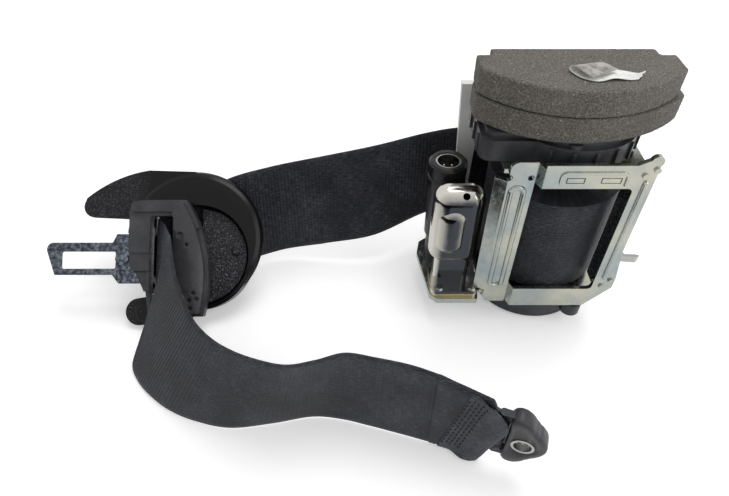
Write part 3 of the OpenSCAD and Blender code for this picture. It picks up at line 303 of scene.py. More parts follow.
def open_foam(name, color):
    """Open-cell foam: fine dark pores, pale cell walls and a few bright specks."""
    white, black, speck = (1, 1, 1), (0, 0, 0), (0.55, 0.53, 0.5, 1)
    s = Shader(name, color, 0.95)
    pores = s.cells(1500)
    patches = s.noise(45, detail=4)
    tone = s.math("ADD", s.math("MULTIPLY", pores, 0.75), s.math("MULTIPLY", patches, 0.35))
    body = s.ramp(tone, [(0.25, shade(color, 0.5)), (0.5, color), (0.8, shade(color, 1.5))])
    specks = s.ramp(s.cells(420), [(0.06, white), (0.1, black)])
    s.color_from(s.mix(specks, body, speck))
    s.bump(pores, 0.35 * MM, 0.6)
    s.bump(s.noise(220, detail=4), 0.3 * MM, 0.3)
    s.set(Sheen_Weight=0.08, Specular_IOR_Level=0.1)
    return s.mat


# Distance between the ribs of the webbing
RIB_PITCH = 1.7 * MM


def woven(name, color):
    """Ribbed webbing: yarns run along the strap's U, ribs across it follow the mesh."""
    s = Shader(name, color, 0.5)
    yarns = s.noise(1.0, detail=1, vector=s.space((380, 2300, 1), "UV"))
    twill = s.add("ShaderNodeTexWave", Scale=1.0, Distortion=0.6, Detail=1.0)
    s.link(s.space((620, 420, 1), "UV"), twill.inputs["Vector"])
    wear = s.noise(34, detail=5, rough=0.65)
    tone = s.math("ADD", s.math("MULTIPLY", yarns, 0.55), s.math("MULTIPLY", wear, 0.45))
    s.color_from(s.ramp(tone, [(0.34, shade(color, 0.4)), (0.5, color), (0.66, shade(color, 2.6))]))
    s.rough_from(s.levels(yarns, 0.4, 0.62))
    picks = s.add("ShaderNodeTexWave", Scale=1.0, Distortion=0.4, Detail=1.0, bands_direction="Y")
    s.link(s.space((1, 240, 1), "UV"), picks.inputs["Vector"])
    s.bump(picks.outputs["Fac"], 0.1 * MM, 0.5)
    s.bump(yarns, 0.14 * MM, 0.6)
    s.bump(twill.outputs["Fac"], 0.06 * MM, 0.35)
    s.set(Sheen_Weight=0.04, Sheen_Roughness=0.4, Specular_IOR_Level=0.12)
    return s.mat


def paper(name, dark, pale):
    """Crumpled paper, darker and paler in random patches."""
    s = Shader(name, pale, 0.55)
    s.color_from(s.ramp(s.noise(320, detail=6, rough=0.65), [(0.34, dark), (0.6, pale)]))
    s.bump(s.noise(420, detail=4), 0.2 * MM, 0.5)
    return s.mat


# One material for each slot of the record
MATS = {
    "zinc_steel": plated_steel("zinc_steel", (0.26, 0.305, 0.325), (0.45, 0.445, 0.37), 0.17),
    "bright_steel": bright_steel("bright_steel", (0.4, 0.4, 0.39), 0.13),
    "gold_zinc": plated_steel("gold_zinc", (0.5, 0.44, 0.27), (0.62, 0.5, 0.24), 0.3),
    "brass_pins": bright_steel("brass_pins", (0.78, 0.62, 0.3), 0.25),
    "cast_alloy": plated_steel("cast_alloy", (0.58, 0.59, 0.61), (0.66, 0.66, 0.66), 0.42),
    "black_plastic": moulded("black_plastic", (0.042, 0.0425, 0.047), 0.36),
    "gloss_black": moulded("gloss_black", (0.012, 0.012, 0.014), 0.22, grain=500, depth=0.02 * MM),
    "grey_plastic": moulded("grey_plastic", (0.04, 0.042, 0.05), 0.42),
    "white_plastic": moulded("white_plastic", (0.78, 0.78, 0.75), 0.4, spread=0.06),
    "foam": open_foam("foam", (0.132, 0.124, 0.109)),
    "webbing": woven("webbing", (0.033, 0.0342, 0.0405)),
    "black_steel": moulded("black_steel", (0.02, 0.021, 0.024), 0.38, grain=900),
}
# Painted light: the flap is the strap's own webbing, coloured twice as pale.
FLAP_PAINTED_LIGHT_MAT = woven("webbing_flap", (0.066, 0.069, 0.082))
THREAD_MAT = moulded("thread", (0.007, 0.007, 0.008), 0.6, grain=2500)
LABEL_MATS = [
    paper("label_paper", (0.62, 0.62, 0.6), (0.84, 0.84, 0.8)),
    paper("label_back", (0.13, 0.12, 0.11), (0.42, 0.4, 0.37)),
]

# The bezel's grain ends, and the blade's coat begins, at these x
BEZEL_GRAIN_TO = -188.5 * MM
BLADE_COAT_FROM = -181 * MM

# Nodes whose surface differs from the rest of their slot
OWN = {
    "bezel": grained("bezel_skin", (0.013, 0.013, 0.015), 0.5, BEZEL_GRAIN_TO),
    "bezel_insert": grained("bezel_panel", (0.026, 0.0262, 0.03), 0.5),
    "tongue_body": moulded("tongue_skin", (0.044, 0.0445, 0.049), 0.3, grain=1300, depth=0.16 * MM,
                           spread=0.4, edge=1.2 * MM),
    "tongue_blade": galvanised("blade_steel", BLADE_COAT_FROM),
    # The manifold's dark front and bright rim are painted reflection and painted highlight, set by how its
    # faces turn.
    "gas_manifold": painted_reflection_shell("manifold_shell", (0.05, 0.055, 0.065), (0.6, 0.58, 0.52), 0.1),
}


def dress_nodes():
    """Every CAD node takes the material of its slot, or its own."""
    slots = {part["node"]: part["material_slot"] for part in frame["record"]["subparts"]}
    for name, obj in frame["nodes"].items():
        for place in obj.material_slots:
            place.material = OWN.get(name, MATS[slots[name]])


dress_nodes()


# Mesh helpers
def add_mesh(name, verts, faces, material, body="retractor", uvs=None):
    """A smooth piece of the object, with its material and body."""
    mesh = bpy.data.meshes.new(name)
    mesh.from_pydata([tuple(v) for v in verts], [], faces)
    if uvs is not None:
        layer = mesh.uv_layers.new(name="UVMap")
        for loop in mesh.loops:
            layer.data[loop.index].uv = uvs[loop.vertex_index]
    mesh.validate()
    fix = bmesh.new()
    fix.from_mesh(mesh)
    bmesh.ops.recalc_face_normals(fix, faces=fix.faces)
    fix.to_mesh(mesh)
    fix.free()
    mesh.shade_smooth()
    mesh.materials.append(material)
    obj = bpy.data.objects.new(name, mesh)
    scene.collection.objects.link(obj)
    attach(obj, body)
    return obj


def grid_faces(rows, cols, wrap_rows=False, wrap_cols=False):
    faces = []
    for i in range(rows if wrap_rows else rows - 1):
        for j in range(cols if wrap_cols else cols - 1):
            a, b = i * cols + j, i * cols + (j + 1) % cols
            c, d = ((i + 1) % rows) * cols + (j + 1) % cols, ((i + 1) % rows) * cols + j
            faces.append((a, b, c, d))
    return faces


def tube_faces(rings, sides):
    """Faces of a tube of so many rings of points, closed at both ends."""
    ends = [tuple(range(sides)), tuple(range((rings - 1) * sides, rings * sides))]
    return grid_faces(rings, sides, wrap_cols=True) + ends


def sheet_faces(rows, cols):
    """Faces of a thin sheet: a front and a back of rows by cols points, joined round the rim."""
    half = rows * cols
    bottom, right = rows - 1, cols - 1
    front = grid_faces(rows, cols)
    back = [tuple(half + k for k in reversed(f)) for f in front]
    rim = [i * cols for i in range(bottom)] + [bottom * cols + j for j in range(right)]
    rim += [i * cols + right for i in range(bottom, 0, -1)] + list(range(right, 0, -1))
    return front + back + [(a, b, half + b, half + a) for a, b in zip(rim, rim[1:] + rim[:1])]


def smooth_step(share):
    """A share from 0 to 1 that eases in and out."""
    share = min(1, max(0, share))
    return share * share * (3 - 2 * share)


# Free webbing: the two edges of its route, in millimetres, from the roll to the folded end
EDGE_TOP = [
    (0, 28.9, 70.6), (-20, 28.9, 70.6), (-36, 28.9, 70.6), (-52, 28.5, 68), (-77, 28, 61),
    (-102, 25, 57), (-127, 22, 53), (-150, 22, 45), (-164, 16, 36), (-175, 4, 37),
    (-173, -7, 40), (-168, -17, 44), (-164, -28, 46), (-159, -42, 46), (-153, -54, 47),
    (-147, -65, 47), (-139, -74, 48), (-130, -80, 48), (-119, -85, 49), (-109, -87, 49),
    (-99, -85, 49), (-89, -82, 49), (-78, -84, 49), (-66, -87, 49), (-56, -91, 49),
]
EDGE_LOW = [
    (0, 28.9, 22.6), (-20, 28.9, 22.6), (-36, 28.9, 22.6), (-52, 26, 20), (-77, 15, 15),
    (-102, 14, 10), (-127, 13, 5.5), (-152, 2, 3), (-166, -17, 3), (-175, -31, 7),
    (-177, -37, 11), (-181, -42, 10), (-184, -49, 5), (-185, -56, 2), (-181, -63, 1),
    (-174, -70, 1), (-164, -77, 1), (-152, -82, 1), (-137, -85, 1), (-120, -83, 1),
    (-104, -80, 1), (-92, -81, 1), (-80, -84, 1), (-66, -88, 1), (-56, -91, 1),
]
WEB_W = 48 * MM
WEB_T = 1.2 * MM
RIB_H = 0.17 * MM
STEPS_PER_RIB = 4
ACROSS = 22
# The ribs fade out over the selvedge, and the outer share of it is rounded off
SELVEDGE = 2 * MM
SELVEDGE_ROUND = 0.2
SELVEDGE_HALF = 0.3 * WEB_T


def smooth_route(points, steps):
    """Points on a smooth curve through the given ones."""
    p = [Vector(q) * MM for q in points]
    p = [p[0]] + p + [p[-1]]
    out = []
    for a, b, c, d in zip(p, p[1:], p[2:], p[3:]):
        for k in range(steps):
            t = k / steps
            out.append(0.5 * (2 * b + t * (c - a) + t * t * (2 * a - 5 * b + 4 * c - d)
                              + t ** 3 * (3 * b - a - 3 * c + d)))
    out.append(p[-1])
    return out


# In the tongue's slot the slack webbing leans against the side plate
SLOT_POINT = 9
SLOT_LEAN = 4.2 * MM
# Route points over which the lean dies away
SLOT_REACH = 0.5
ROUTE_STEPS = 24


def lean_in_slot(points):
    for i, p in enumerate(points):
        away = (i / ROUTE_STEPS - SLOT_POINT) / SLOT_REACH
        p.x -= SLOT_LEAN * math.exp(-away * away)
    return points


def strap_stations():
    """Evenly spaced pairs of edge points along the strap, with the distance of each."""
    top, low = (lean_in_slot(smooth_route(edge, ROUTE_STEPS)) for edge in (EDGE_TOP, EDGE_LOW))
    run = [0.0]
    for i in range(1, len(top)):
        run.append(run[-1] + ((top[i] + low[i]) / 2 - (top[i - 1] + low[i - 1]) / 2).length)
    count = int(run[-1] / RIB_PITCH * STEPS_PER_RIB)
    stations, k = [], 0
    for n in range(count + 1):
        at = run[-1] * n / count
        while k < len(run) - 2 and run[k + 1] < at:
            k += 1
        f = (at - run[k]) / (run[k + 1] - run[k])
        stations.append((top[k].lerp(top[k + 1], f), low[k].lerp(low[k + 1], f), at))
    return stations


def make_webbing():
    """The ribbed strap, and the line along its middle."""
    stations = strap_stations()
    mids = [(top + low) / 2 for top, low, at in stations]
    verts, uvs = [], []
    for i, (top, low, at) in enumerate(stations):
        way = mids[min(i + 1, len(mids) - 1)] - mids[max(i - 1, 0)]
        side = way.cross(top - low).normalized()
        rib = RIB_H * math.sin(2 * math.pi * at / RIB_PITCH)
        for face in (1, -1):
            for j in range(ACROSS + 1):
                f = j / ACROSS if face > 0 else 1 - j / ACROSS
                edge = min(f, 1 - f) * WEB_W / SELVEDGE
                half = WEB_T / 2 - RIB_H + rib * min(1, edge)
                if edge <= SELVEDGE_ROUND:
                    half = SELVEDGE_HALF
                verts.append(top.lerp(low, f) + side * half * face)
                uvs.append((at, f * WEB_W))
    faces = tube_faces(len(stations), 2 * (ACROSS + 1))
    strap = add_mesh("webbing_strap", verts, faces, MATS["webbing"], uvs=uvs)
    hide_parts("webbing")
    return strap, mids


strap, strap_line = make_webbing()


# Folded and stitched end of the webbing, in millimetres
END_AT = Vector((-56, -91, 1)) * MM
END_TURN = math.radians(-19)
# The fold starts a little way up the strap, so that its turned-in end lies on the strap
FOLD_START = -0.8
FOLD_HALF = 1.4
FOLD_TOP = 48
FOLD_DROP = 5.4
# Where the fold begins to be drawn in to the loop, and the length that this takes
NECK_X = 19
NECK_LENGTH = 4.4
LOOP_X = 24
LOOP_R = 3.0
LOOP_LOW, LOOP_TOP = 14, 34
# Half the thickness left at the loop's end, and how far the last ring stops short of it
LOOP_TIP = 0.1
LOOP_SHORT = 0.05
# Puckers that grow from the given x, the hollow that the stitches pull in, ribs and rounded edges
PUCKER, PUCKER_FROM, PUCKER_LENGTH = 0.22, 15, 9
PUCKER_WAVES, PUCKER_SLANT = 31, 0.4
SEWN, SEWN_FROM, SEWN_LENGTH = 0.25, 0.5, 9.5
FOLD_RIB = 0.08
FOLD_EDGE, FOLD_EDGE_WIDTH = 0.35, 0.9


def at_end(x, y, z):
    """A point of the folded end, in millimetres along the strap, out of its face and up."""
    c, s = math.cos(END_TURN), math.sin(END_TURN)
    return END_AT + Vector((c * x - s * y, s * x + c * y, z)) * MM


def fold_span(x):
    """Lower and upper edge of the folded end at x: level, then drawn in to the loop."""
    top = FOLD_TOP - FOLD_DROP * min(1, max(0, x) / NECK_X)
    drawn = smooth_step((x - NECK_X) / NECK_LENGTH)
    return LOOP_LOW * drawn, top + (LOOP_TOP - top) * drawn


def fold_half(x):
    """Half the thickness of the folded end at x: two layers, then the round loop."""
    flat = FOLD_HALF * min(1, 0.5 + (x - FOLD_START) / 2) if x < LOOP_X else 0
    return max(flat, math.sqrt(max(LOOP_TIP ** 2, LOOP_R ** 2 - (x - LOOP_X) ** 2)))


def fold_relief(x, up):
    """How far puckers, stitches and ribs raise the folded end at x and a share of its height."""
    pucker = PUCKER * max(0, (x - PUCKER_FROM) / PUCKER_LENGTH)
    pucker *= math.sin(PUCKER_WAVES * up + PUCKER_SLANT * x)
    sewn = SEWN * math.sin(math.pi * min(1, max(0, (x - SEWN_FROM) / SEWN_LENGTH))) ** 2
    rib = FOLD_RIB * math.sin(2 * math.pi * x * MM / RIB_PITCH)
    return rib - sewn + pucker


def make_webbing_end():
    """The folded end round its loop, with rings that crowd towards the loop's end."""
    rows, cols = 60, 30
    length = LOOP_X + LOOP_R - FOLD_START - LOOP_SHORT
    verts, uvs = [], []
    for i in range(rows + 1):
        x = FOLD_START + length * math.sin(math.pi / 2 * i / rows) ** 0.9
        low, top = fold_span(x)
        for face in (1, -1):
            for j in range(cols + 1):
                up = j / cols if face > 0 else 1 - j / cols
                z = low + (top - low) * up
                edge = min(1, FOLD_EDGE + min(z - low, top - z) / FOLD_EDGE_WIDTH)
                out = (fold_half(x) + fold_relief(x, up)) * edge
                verts.append(at_end(x, out * face, z))
                uvs.append((x * MM, z * MM))
    faces = tube_faces(rows + 1, 2 * (cols + 1))
    end = add_mesh("webbing_end_fold", verts, faces, MATS["webbing"], uvs=uvs)
    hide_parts("webbing_end")
    return end


# A stitch's thickness along its length, as shares
THREAD_SHAPE = [(0, 0.15), (0.2, 0.8), (0.5, 1), (0.8, 0.8), (1, 0.15)]
THREAD_SIDES = 6


def thread_bead(verts, faces, start, stop, radius):
    """One stitch: a short thread that sinks in at both ends."""
    way = (stop - start).normalized()
    side = way.orthogonal().normalized()
    up = way.cross(side)
    base = len(verts)
    for t, r in THREAD_SHAPE:
        for k in range(THREAD_SIDES):
            a = 2 * math.pi * k / THREAD_SIDES
            verts.append(start.lerp(stop, t) + (side * math.cos(a) + up * math.sin(a)) * radius * r)
    shell = grid_faces(len(THREAD_SHAPE), THREAD_SIDES, wrap_cols=True)
    faces.extend(tuple(base + i for i in f) for f in shell)


# Outer layer of the fold: share of its height, x and z of its free edge
FLAP_EDGE = [
    (0, 16.5, 1.2), (0.06, 19, 3), (0.16, 20.6, 8), (0.34, 22.4, 15.4), (0.52, 24.8, 23),
    (0.66, 26.8, 29.5), (0.72, 26.9, 32), (0.8, 25.4, 35.6), (0.9, 22.8, 39.4), (1, 20, 42.2),
]
FLAP_LOW, FLAP_TOP = 0.5, 44
FLAP_START, FLAP_SLANT = 3.4, 8.6
FLAP_T = 0.8
FLAP_GAP = 0.12
# The flap lies flat at first, then lifts over these shares of its length
FLAP_LIFT = 2.4
LIFT_FROM, LIFT_OVER = 0.3, 0.55
FLAP_WAVE = 0.16
WAVES_UP, WAVES_ALONG = 9, 3
# Its border is thinned over so many grid steps
FLAP_THIN, FLAP_BORDER = 0.3, 1.5
# Size of the flap in its weave
FLAP_UV = (20 * MM, 45 * MM)


def between(table, at):
    """Values of a table at a place between two of its rows, in a straight line from one to the other."""
    for low, high in zip(table, table[1:]):
        if at <= high[0]:
            f = max(0, (at - low[0]) / (high[0] - low[0]))
            return [a + (b - a) * f for a, b in zip(low[1:], high[1:])]
    return list(table[-1][1:])


def flap_start(up):
    return FLAP_START + FLAP_SLANT * up


def flap_point(up, along, sink):
    """A point on the outer layer, at shares of its height and of its length, sunk in by so much."""
    x0, z0 = flap_start(up), FLAP_LOW + (FLAP_TOP - FLAP_LOW) * up
    x1, z1 = between(FLAP_EDGE, up)
    rise = smooth_step((along - LIFT_FROM) / LIFT_OVER)
    wave = FLAP_WAVE * math.sin(WAVES_UP * up + WAVES_ALONG * along) * rise
    out = FOLD_HALF + FLAP_GAP + FLAP_LIFT * rise + wave - sink
    return at_end(x0 + (x1 - x0) * along, -out, z0 + (z1 - z0) * along)


def make_flap():
    rows, cols = 26, 48
    verts, uvs = [], []
    for side in (0, 1):
        for i in range(rows + 1):
            for j in range(cols + 1):
                along, up = i / rows, j / cols
                border = min(1, min(rows - i, j, cols - j) / FLAP_BORDER)
                thin = FLAP_THIN * (1 - border)
                verts.append(flap_point(up, along, FLAP_T - thin if side else thin))
                uvs.append((along * FLAP_UV[0], up * FLAP_UV[1]))
    faces = sheet_faces(rows + 1, cols + 1)
    return add_mesh("webbing_end_flap", verts, faces, FLAP_PAINTED_LIGHT_MAT, uvs=uvs)


# Stitches on the flap: rows by their distance from its start, and shares of its height
STITCH_ROWS = (0.6, 2.2, 3.8, 5.4, 7)
STITCH_COUNT = 13
STITCH_FROM, STITCH_SPAN = 0.09, 0.82
# Places in a stitch's own step: of the first one, and how far every other row is set off
STITCH_LEAD, STITCH_STAGGER = 0.15, 0.35
STITCH_RISE = 0.05
STITCH_SINK = 0.03
STITCH_R = 0.38 * MM
# Stitches on the far side of the fold
BACK_X, BACK_PITCH = 5, 3.2
BACK_SPAN = 44
BACK_RISE = 2.1
BACK_SINK = 0.1
BACK_R = 0.34 * MM


def make_stitches():
    verts, faces = [], []
    for n, row in enumerate(STITCH_ROWS):
        for k in range(STITCH_COUNT):
            step = k + STITCH_LEAD + STITCH_STAGGER * (n % 2)
            up = STITCH_FROM + STITCH_SPAN * step / STITCH_COUNT
            ends = []
            for share in (up, up + STITCH_RISE):
                length = between(FLAP_EDGE, share)[0] - flap_start(share)
                ends.append(flap_point(share, row / length, STITCH_SINK))
            thread_bead(verts, faces, *ends, STITCH_R)
            x, y, z = BACK_X + BACK_PITCH * n, FOLD_HALF - BACK_SINK, BACK_SPAN * up
            thread_bead(verts, faces, at_end(x, y, z), at_end(x, y, z + BACK_RISE), BACK_R)
    return add_mesh("webbing_stitches", verts, faces, THREAD_MAT)


# Moulded cover of the anchor: half its outline as angle about the eye and distance from it
COVER_EYE = (33, 24)
COVER_HALF = [
    (0, 8.5), (40, 8.5), (60, 8.9), (75, 10.3), (86, 12.5), (96, 14.3), (104, 14.9), (111, 14.6),
    (117, 13.5), (121, 11.6), (126, 9.8), (135, 8.1), (150, 6.6), (165, 5.9), (180, 5.7),
]
# Rings from face to face: y and how far inside the outline, or none at the hole
COVER_RINGS = [
    (-3.4, None), (-3.4, 1.5), (-3.2, 0.6), (-2.7, 0.15), (-2, 0),
    (2, 0), (2.7, 0.15), (3.2, 0.6), (3.4, 1.5), (3.4, None),
]
COVER_HOLE = 4.18
COVER_SIDES = 120


def make_anchor_cover():
    verts = []
    for y, inset in COVER_RINGS:
        for k in range(COVER_SIDES):
            turn = 360 * k / COVER_SIDES
            reach = COVER_HOLE
            if inset is not None:
                reach = between(COVER_HALF, min(turn, 360 - turn))[0] - inset
            a = math.radians(turn)
            verts.append(at_end(COVER_EYE[0] + reach * math.cos(a), y, COVER_EYE[1] + reach * math.sin(a)))
    faces = grid_faces(len(COVER_RINGS), COVER_SIDES, wrap_rows=True, wrap_cols=True)
    cover = add_mesh("anchor_cover_shell", verts, faces, MATS["black_plastic"])
    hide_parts("anchor_cover")
    return cover


webbing_end = make_webbing_end()
flap = make_flap()
stitches = make_stitches()
anchor_cover = make_anchor_cover()


# Webbing wound on the spool, in millimetres
ROLL_R = 28
ROLL_LOW = 22.6
ROLL_TOP = 70.6
CORE_R = 10.5
ROLL_RIBS = 104
ROLL_RIB_H = 0.1
STEPS_PER_TURN_RIB = 3
# On the roll's ends each layer's edge stands out and the gap beside it lies deeper
LAYERS = 19
LAYER_EDGE, LAYER_GAP = 0.1, 0.55
LAYER_WANDER, WANDER_WAVES = 0.12, 5
# How far inside the roll's outline the end faces and the ribs' mean lie, and where the ribs stop
ROLL_RIM = 0.3
ROLL_SKIN = 0.12
ROLL_ROUND = 0.5
ROLL_STEPS = 14


def roll_profile():
    """Radius, height and whether it is ribbed, from the core out along one end, up and back in."""
    low = []
    for k in range(2 * LAYERS + 1):
        r = CORE_R + (ROLL_R - ROLL_RIM - CORE_R) * k / (2 * LAYERS)
        low.append((r, ROLL_LOW + (LAYER_GAP if k % 2 else LAYER_EDGE), 0))
    height = ROLL_TOP - ROLL_LOW - 2 * ROLL_ROUND
    steps = range(ROLL_STEPS + 1)
    side = [(ROLL_R - ROLL_SKIN, ROLL_LOW + ROLL_ROUND + height * k / ROLL_STEPS, 1) for k in steps]
    return low + side + [(r, ROLL_LOW + ROLL_TOP - z, 0) for r, z, ribbed in reversed(low)]


def make_roll():
    cols = ROLL_RIBS * STEPS_PER_TURN_RIB
    profile = roll_profile()
    verts, uvs = [], []
    for r, z, ribbed in profile:
        for j in range(cols):
            a = 2 * math.pi * j / cols
            rise = ROLL_RIB_H * math.sin(a * ROLL_RIBS) * ribbed
            wander = LAYER_WANDER * math.sin(WANDER_WAVES * a + r) * (1 - ribbed)
            verts.append(Vector(((r + rise) * math.cos(a), (r + rise) * math.sin(a), z + wander)) * MM)
            uvs.append((a * ROLL_R * MM, z * MM))
    faces = grid_faces(len(profile), cols, wrap_rows=True, wrap_cols=True)
    roll = add_mesh("webbing_turns", verts, faces, MATS["webbing"], body="spool", uvs=uvs)
    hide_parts("webbing_roll")


make_roll()


# Foam pad of two layers, in millimetres
FOAM_LEFT, FOAM_RIGHT, FOAM_FRONT, FOAM_BACK = -40.5, 33, -26, 7
FOAM_LOW, FOAM_MIDDLE, FOAM_TOP = 98.5, 109.2, 119.9
# The layers are squeezed out to the right, the upper one less
LOWER_SPREAD, UPPER_SPREAD = 4, 1
# The upper layer's front is an arc with its middle a little to the right
UPPER_SHIFT = 0.6
FOAM_FRONT_R = 48
FOAM_NOTCH = (6, 5)
FOAM_STEPS = 40
# Room left at each face for the torn surface
FOAM_SKIN = 0.2
FOAM_CELL = 0.8
# Share of points that are open pores, their depth and the roughness of the rest
PORE_SHARE, PORE_DEPTH = 0.02, 0.3
FOAM_ROUGH = (-0.06, 0.03)


def foam_outline(shift, spread):
    """Outline of one layer, counter-clockwise from the front left corner."""
    right = FOAM_RIGHT + spread
    mid_x, mid_y = (FOAM_LEFT + FOAM_RIGHT) / 2 + shift, FOAM_FRONT + FOAM_FRONT_R
    points = []
    for k in range(FOAM_STEPS + 1):
        x = FOAM_LEFT + (right - FOAM_LEFT) * k / FOAM_STEPS
        unspread = x - spread * max(0, (x - mid_x) / (right - mid_x))
        points.append((x, mid_y - math.sqrt(FOAM_FRONT_R ** 2 - (unspread - mid_x) ** 2)))
    wide, deep = FOAM_NOTCH
    step, back = FOAM_BACK - deep, FOAM_BACK
    points += [(right, step), (right - wide, step), (right - wide, back)]
    points += [(FOAM_LEFT + wide, back), (FOAM_LEFT + wide, step), (FOAM_LEFT, step)]
    return points


def foam_block(name, z_low, z_top, shift, spread):
    """The plain block of one layer, in millimetres."""
    work = bmesh.new()
    outline = foam_outline(shift, spread)
    base = work.faces.new([work.verts.new((x, y, z_low + FOAM_SKIN)) for x, y in outline])
    top = bmesh.ops.extrude_face_region(work, geom=[base])["geom"]
    lifted = [v for v in top if isinstance(v, bmesh.types.BMVert)]
    bmesh.ops.translate(work, vec=(0, 0, z_top - z_low - 2 * FOAM_SKIN), verts=lifted)
    bmesh.ops.recalc_face_normals(work, faces=work.faces)
    mesh = bpy.data.meshes.new(name)
    work.to_mesh(mesh)
    work.free()
    block = bpy.data.objects.new(name, mesh)
    scene.collection.objects.link(block)
    return block


def make_foam(name, node, z_low, z_top, shift, spread, seed):
    """A cut foam layer: soft edges, and a surface torn open by its cells."""
    block = foam_block(name + "_rough", z_low, z_top, shift, spread)
    cells = block.modifiers.new("cells", "REMESH")
    cells.mode = "VOXEL"
    cells.voxel_size = FOAM_CELL
    soften = block.modifiers.new("soften", "SMOOTH")
    soften.factor = 0.5
    soften.iterations = 2
    done = bpy.data.meshes.new_from_object(block.evaluated_get(bpy.context.evaluated_depsgraph_get()))
    bpy.data.objects.remove(block)
    draw = random.Random(seed)
    verts = []
    for v in done.vertices:
        pore = PORE_DEPTH if draw.random() < PORE_SHARE else 0
        verts.append((v.co + v.normal * (draw.uniform(*FOAM_ROUGH) - pore)) * MM)
    faces = [tuple(p.vertices) for p in done.polygons]
    bpy.data.meshes.remove(done)
    foam = add_mesh(name, verts, faces, MATS["foam"])
    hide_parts(node)


make_foam("foam_layer_low", "foam_lower", FOAM_LOW, FOAM_MIDDLE, 0, LOWER_SPREAD, seed=3)
make_foam("foam_layer_top", "foam_upper", FOAM_MIDDLE, FOAM_TOP, UPPER_SHIFT, UPPER_SPREAD, seed=5)


# Blank paper label that lies on the foam and curls back over itself: its front and back edge in
# millimetres, from the torn tail, round the open curl, to the end of the flap
LABEL_FRONT = [
    (13, -17.9, 120.1), (9.7, -18.5, 120.1), (4.4, -18.3, 120.6), (-1.4, -19.5, 120.1),
    (-6.3, -17.3, 120.1), (-9, -13.2, 120.2), (-9.9, -11.4, 121), (-9.5, -11.7, 122),
    (-8.3, -13.1, 122.4), (-6.4, -16.2, 122.2), (-4, -19.4, 121.6),
]
LABEL_BACK = [
    (16.3, -13.8, 121.1), (13.8, -13.9, 120.3), (8, -11.2, 120.1), (6, -10.3, 120.1),
    (4.2, -9.4, 120.1), (2.9, -8.6, 120.2), (2.2, -8, 120.8), (2, -8.1, 121.5),
    (2.5, -8.8, 122), (4.4, -11, 121.9), (6.7, -13.6, 121.6),
]
LABEL_T = 0.1 * MM
LABEL_STEPS = 6
LABEL_ACROSS = 10
LABEL_TORN, TORN_WAVES = 0.3 * MM, 5
LABEL_CREASE = 0.1 * MM
CREASES_ACROSS, CREASES_ALONG = 7, 0.5


def label_points():
    """Rows of points over the label, from its tail to the end of its flap."""
    front, back = (smooth_route(edge, LABEL_STEPS) for edge in (LABEL_FRONT, LABEL_BACK))
    rows = []
    for i, (near, far) in enumerate(zip(front, back)):
        row = []
        for j in range(LABEL_ACROSS + 1):
            f = j / LABEL_ACROSS
            torn = LABEL_TORN * math.sin(TORN_WAVES * j) if i == 0 else 0
            crease = LABEL_CREASE * math.sin(CREASES_ACROSS * f) * math.sin(CREASES_ALONG * i) ** 2
            row.append(near.lerp(far, f) + Vector((torn, 0, crease)))
        rows.append(row)
    return rows


def make_label():
    sheet = label_points()
    last = len(sheet) - 1
    verts = []
    for lift in (LABEL_T, 0):
        for i, row in enumerate(sheet):
            for j, point in enumerate(row):
                run = sheet[min(i + 1, last)][j] - sheet[max(i - 1, 0)][j]
                span = row[min(j + 1, LABEL_ACROSS)] - row[max(j - 1, 0)]
                verts.append(point + span.cross(run).normalized() * lift)
    faces = sheet_faces(len(sheet), LABEL_ACROSS + 1)
    label = add_mesh("paper_label", verts, faces, LABEL_MATS[0])
    label.data.materials.append(LABEL_MATS[1])
    shown = last * LABEL_ACROSS
    for face in label.data.polygons[shown:2 * shown]:
        face.material_index = 1


make_label()


# Pale floor, white surroundings and soft light
def seen_rays(tree):
    """1 for rays that show the surroundings as they are: camera, mirror and clear ones."""
    path = tree.nodes.new("ShaderNodeLightPath")
    total = path.outputs["Is Camera Ray"]
    for name in ("Is Glossy Ray", "Is Transmission Ray"):
        more = tree.nodes.new("ShaderNodeMath")
        more.operation = "MAXIMUM"
        tree.links.new(total, more.inputs[0])
        tree.links.new(path.outputs[name], more.inputs[1])
        total = more.outputs[0]
    return total


FLOOR_HALF = 4
FLOOR_Z = -0.3 * MM
# Light of its own with which the floor is seen as white
FLOOR_GLOW = 0.34


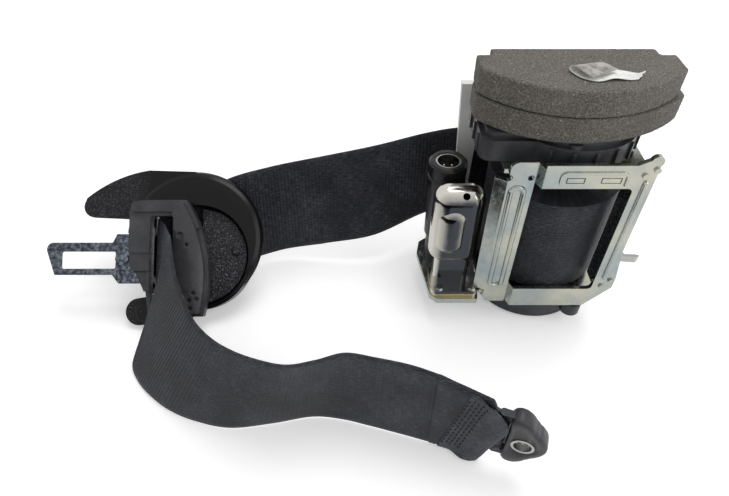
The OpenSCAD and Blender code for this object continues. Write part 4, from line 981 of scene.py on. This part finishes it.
def make_floor():
    floor_mat = bpy.data.materials.new("floor_paper")
    floor_mat.use_nodes = True
    tree = floor_mat.node_tree
    bsdf = tree.nodes["Principled BSDF"]
    bsdf.inputs["Base Color"].default_value = (0.9, 0.9, 0.9, 1)
    bsdf.inputs["Roughness"].default_value = 0.9
    bsdf.inputs["Emission Color"].default_value = (1, 1, 1, 1)
    lift = tree.nodes.new("ShaderNodeMath")
    lift.operation = "MULTIPLY"
    lift.inputs[1].default_value = FLOOR_GLOW
    tree.links.new(seen_rays(tree), lift.inputs[0])
    tree.links.new(lift.outputs[0], bsdf.inputs["Emission Strength"])
    mesh = bpy.data.meshes.new("floor")
    corners = [(-1, -1), (1, -1), (1, 1), (-1, 1)]
    mesh.from_pydata([(x * FLOOR_HALF, y * FLOOR_HALF, FLOOR_Z) for x, y in corners], [], [(0, 1, 2, 3)])
    mesh.materials.append(floor_mat)
    floor = bpy.data.objects.new("floor", mesh)
    scene.collection.objects.link(floor)
    return floor


# Strength of the surroundings as light on the object, and as they are seen
WORLD_LIGHT, WORLD_SEEN = 0.5, 1.0


def make_world():
    world = bpy.data.worlds.new("studio")
    world.use_nodes = True
    tree = world.node_tree
    back = tree.nodes["Background"]
    back.inputs["Color"].default_value = (1, 1, 1, 1)
    level = tree.nodes.new("ShaderNodeMapRange")
    level.inputs["To Min"].default_value = WORLD_LIGHT
    level.inputs["To Max"].default_value = WORLD_SEEN
    tree.links.new(seen_rays(tree), level.inputs["Value"])
    tree.links.new(level.outputs["Result"], back.inputs["Strength"])
    scene.world = world


# Middle of the object, at which the lights point
LIT_AT = (-0.05, -0.02, 0.04)


def add_light(name, place, size, watts):
    data = bpy.data.lights.new(name, "AREA")
    data.shape = "DISK"
    data.size = size
    data.energy = watts
    light = bpy.data.objects.new(name, data)
    light.location = place
    light.rotation_euler = (Vector(LIT_AT) - Vector(place)).to_track_quat("-Z", "Y").to_euler()
    scene.collection.objects.link(light)
    return light


floor = make_floor()
make_world()
lights = [
    add_light("key_light", (0.1, 0.3, 1.1), 0.7, 5),
    add_light("fill_light", (0.75, -0.45, 0.7), 0.9, 4),
]

scene.view_settings.view_transform = "Standard"
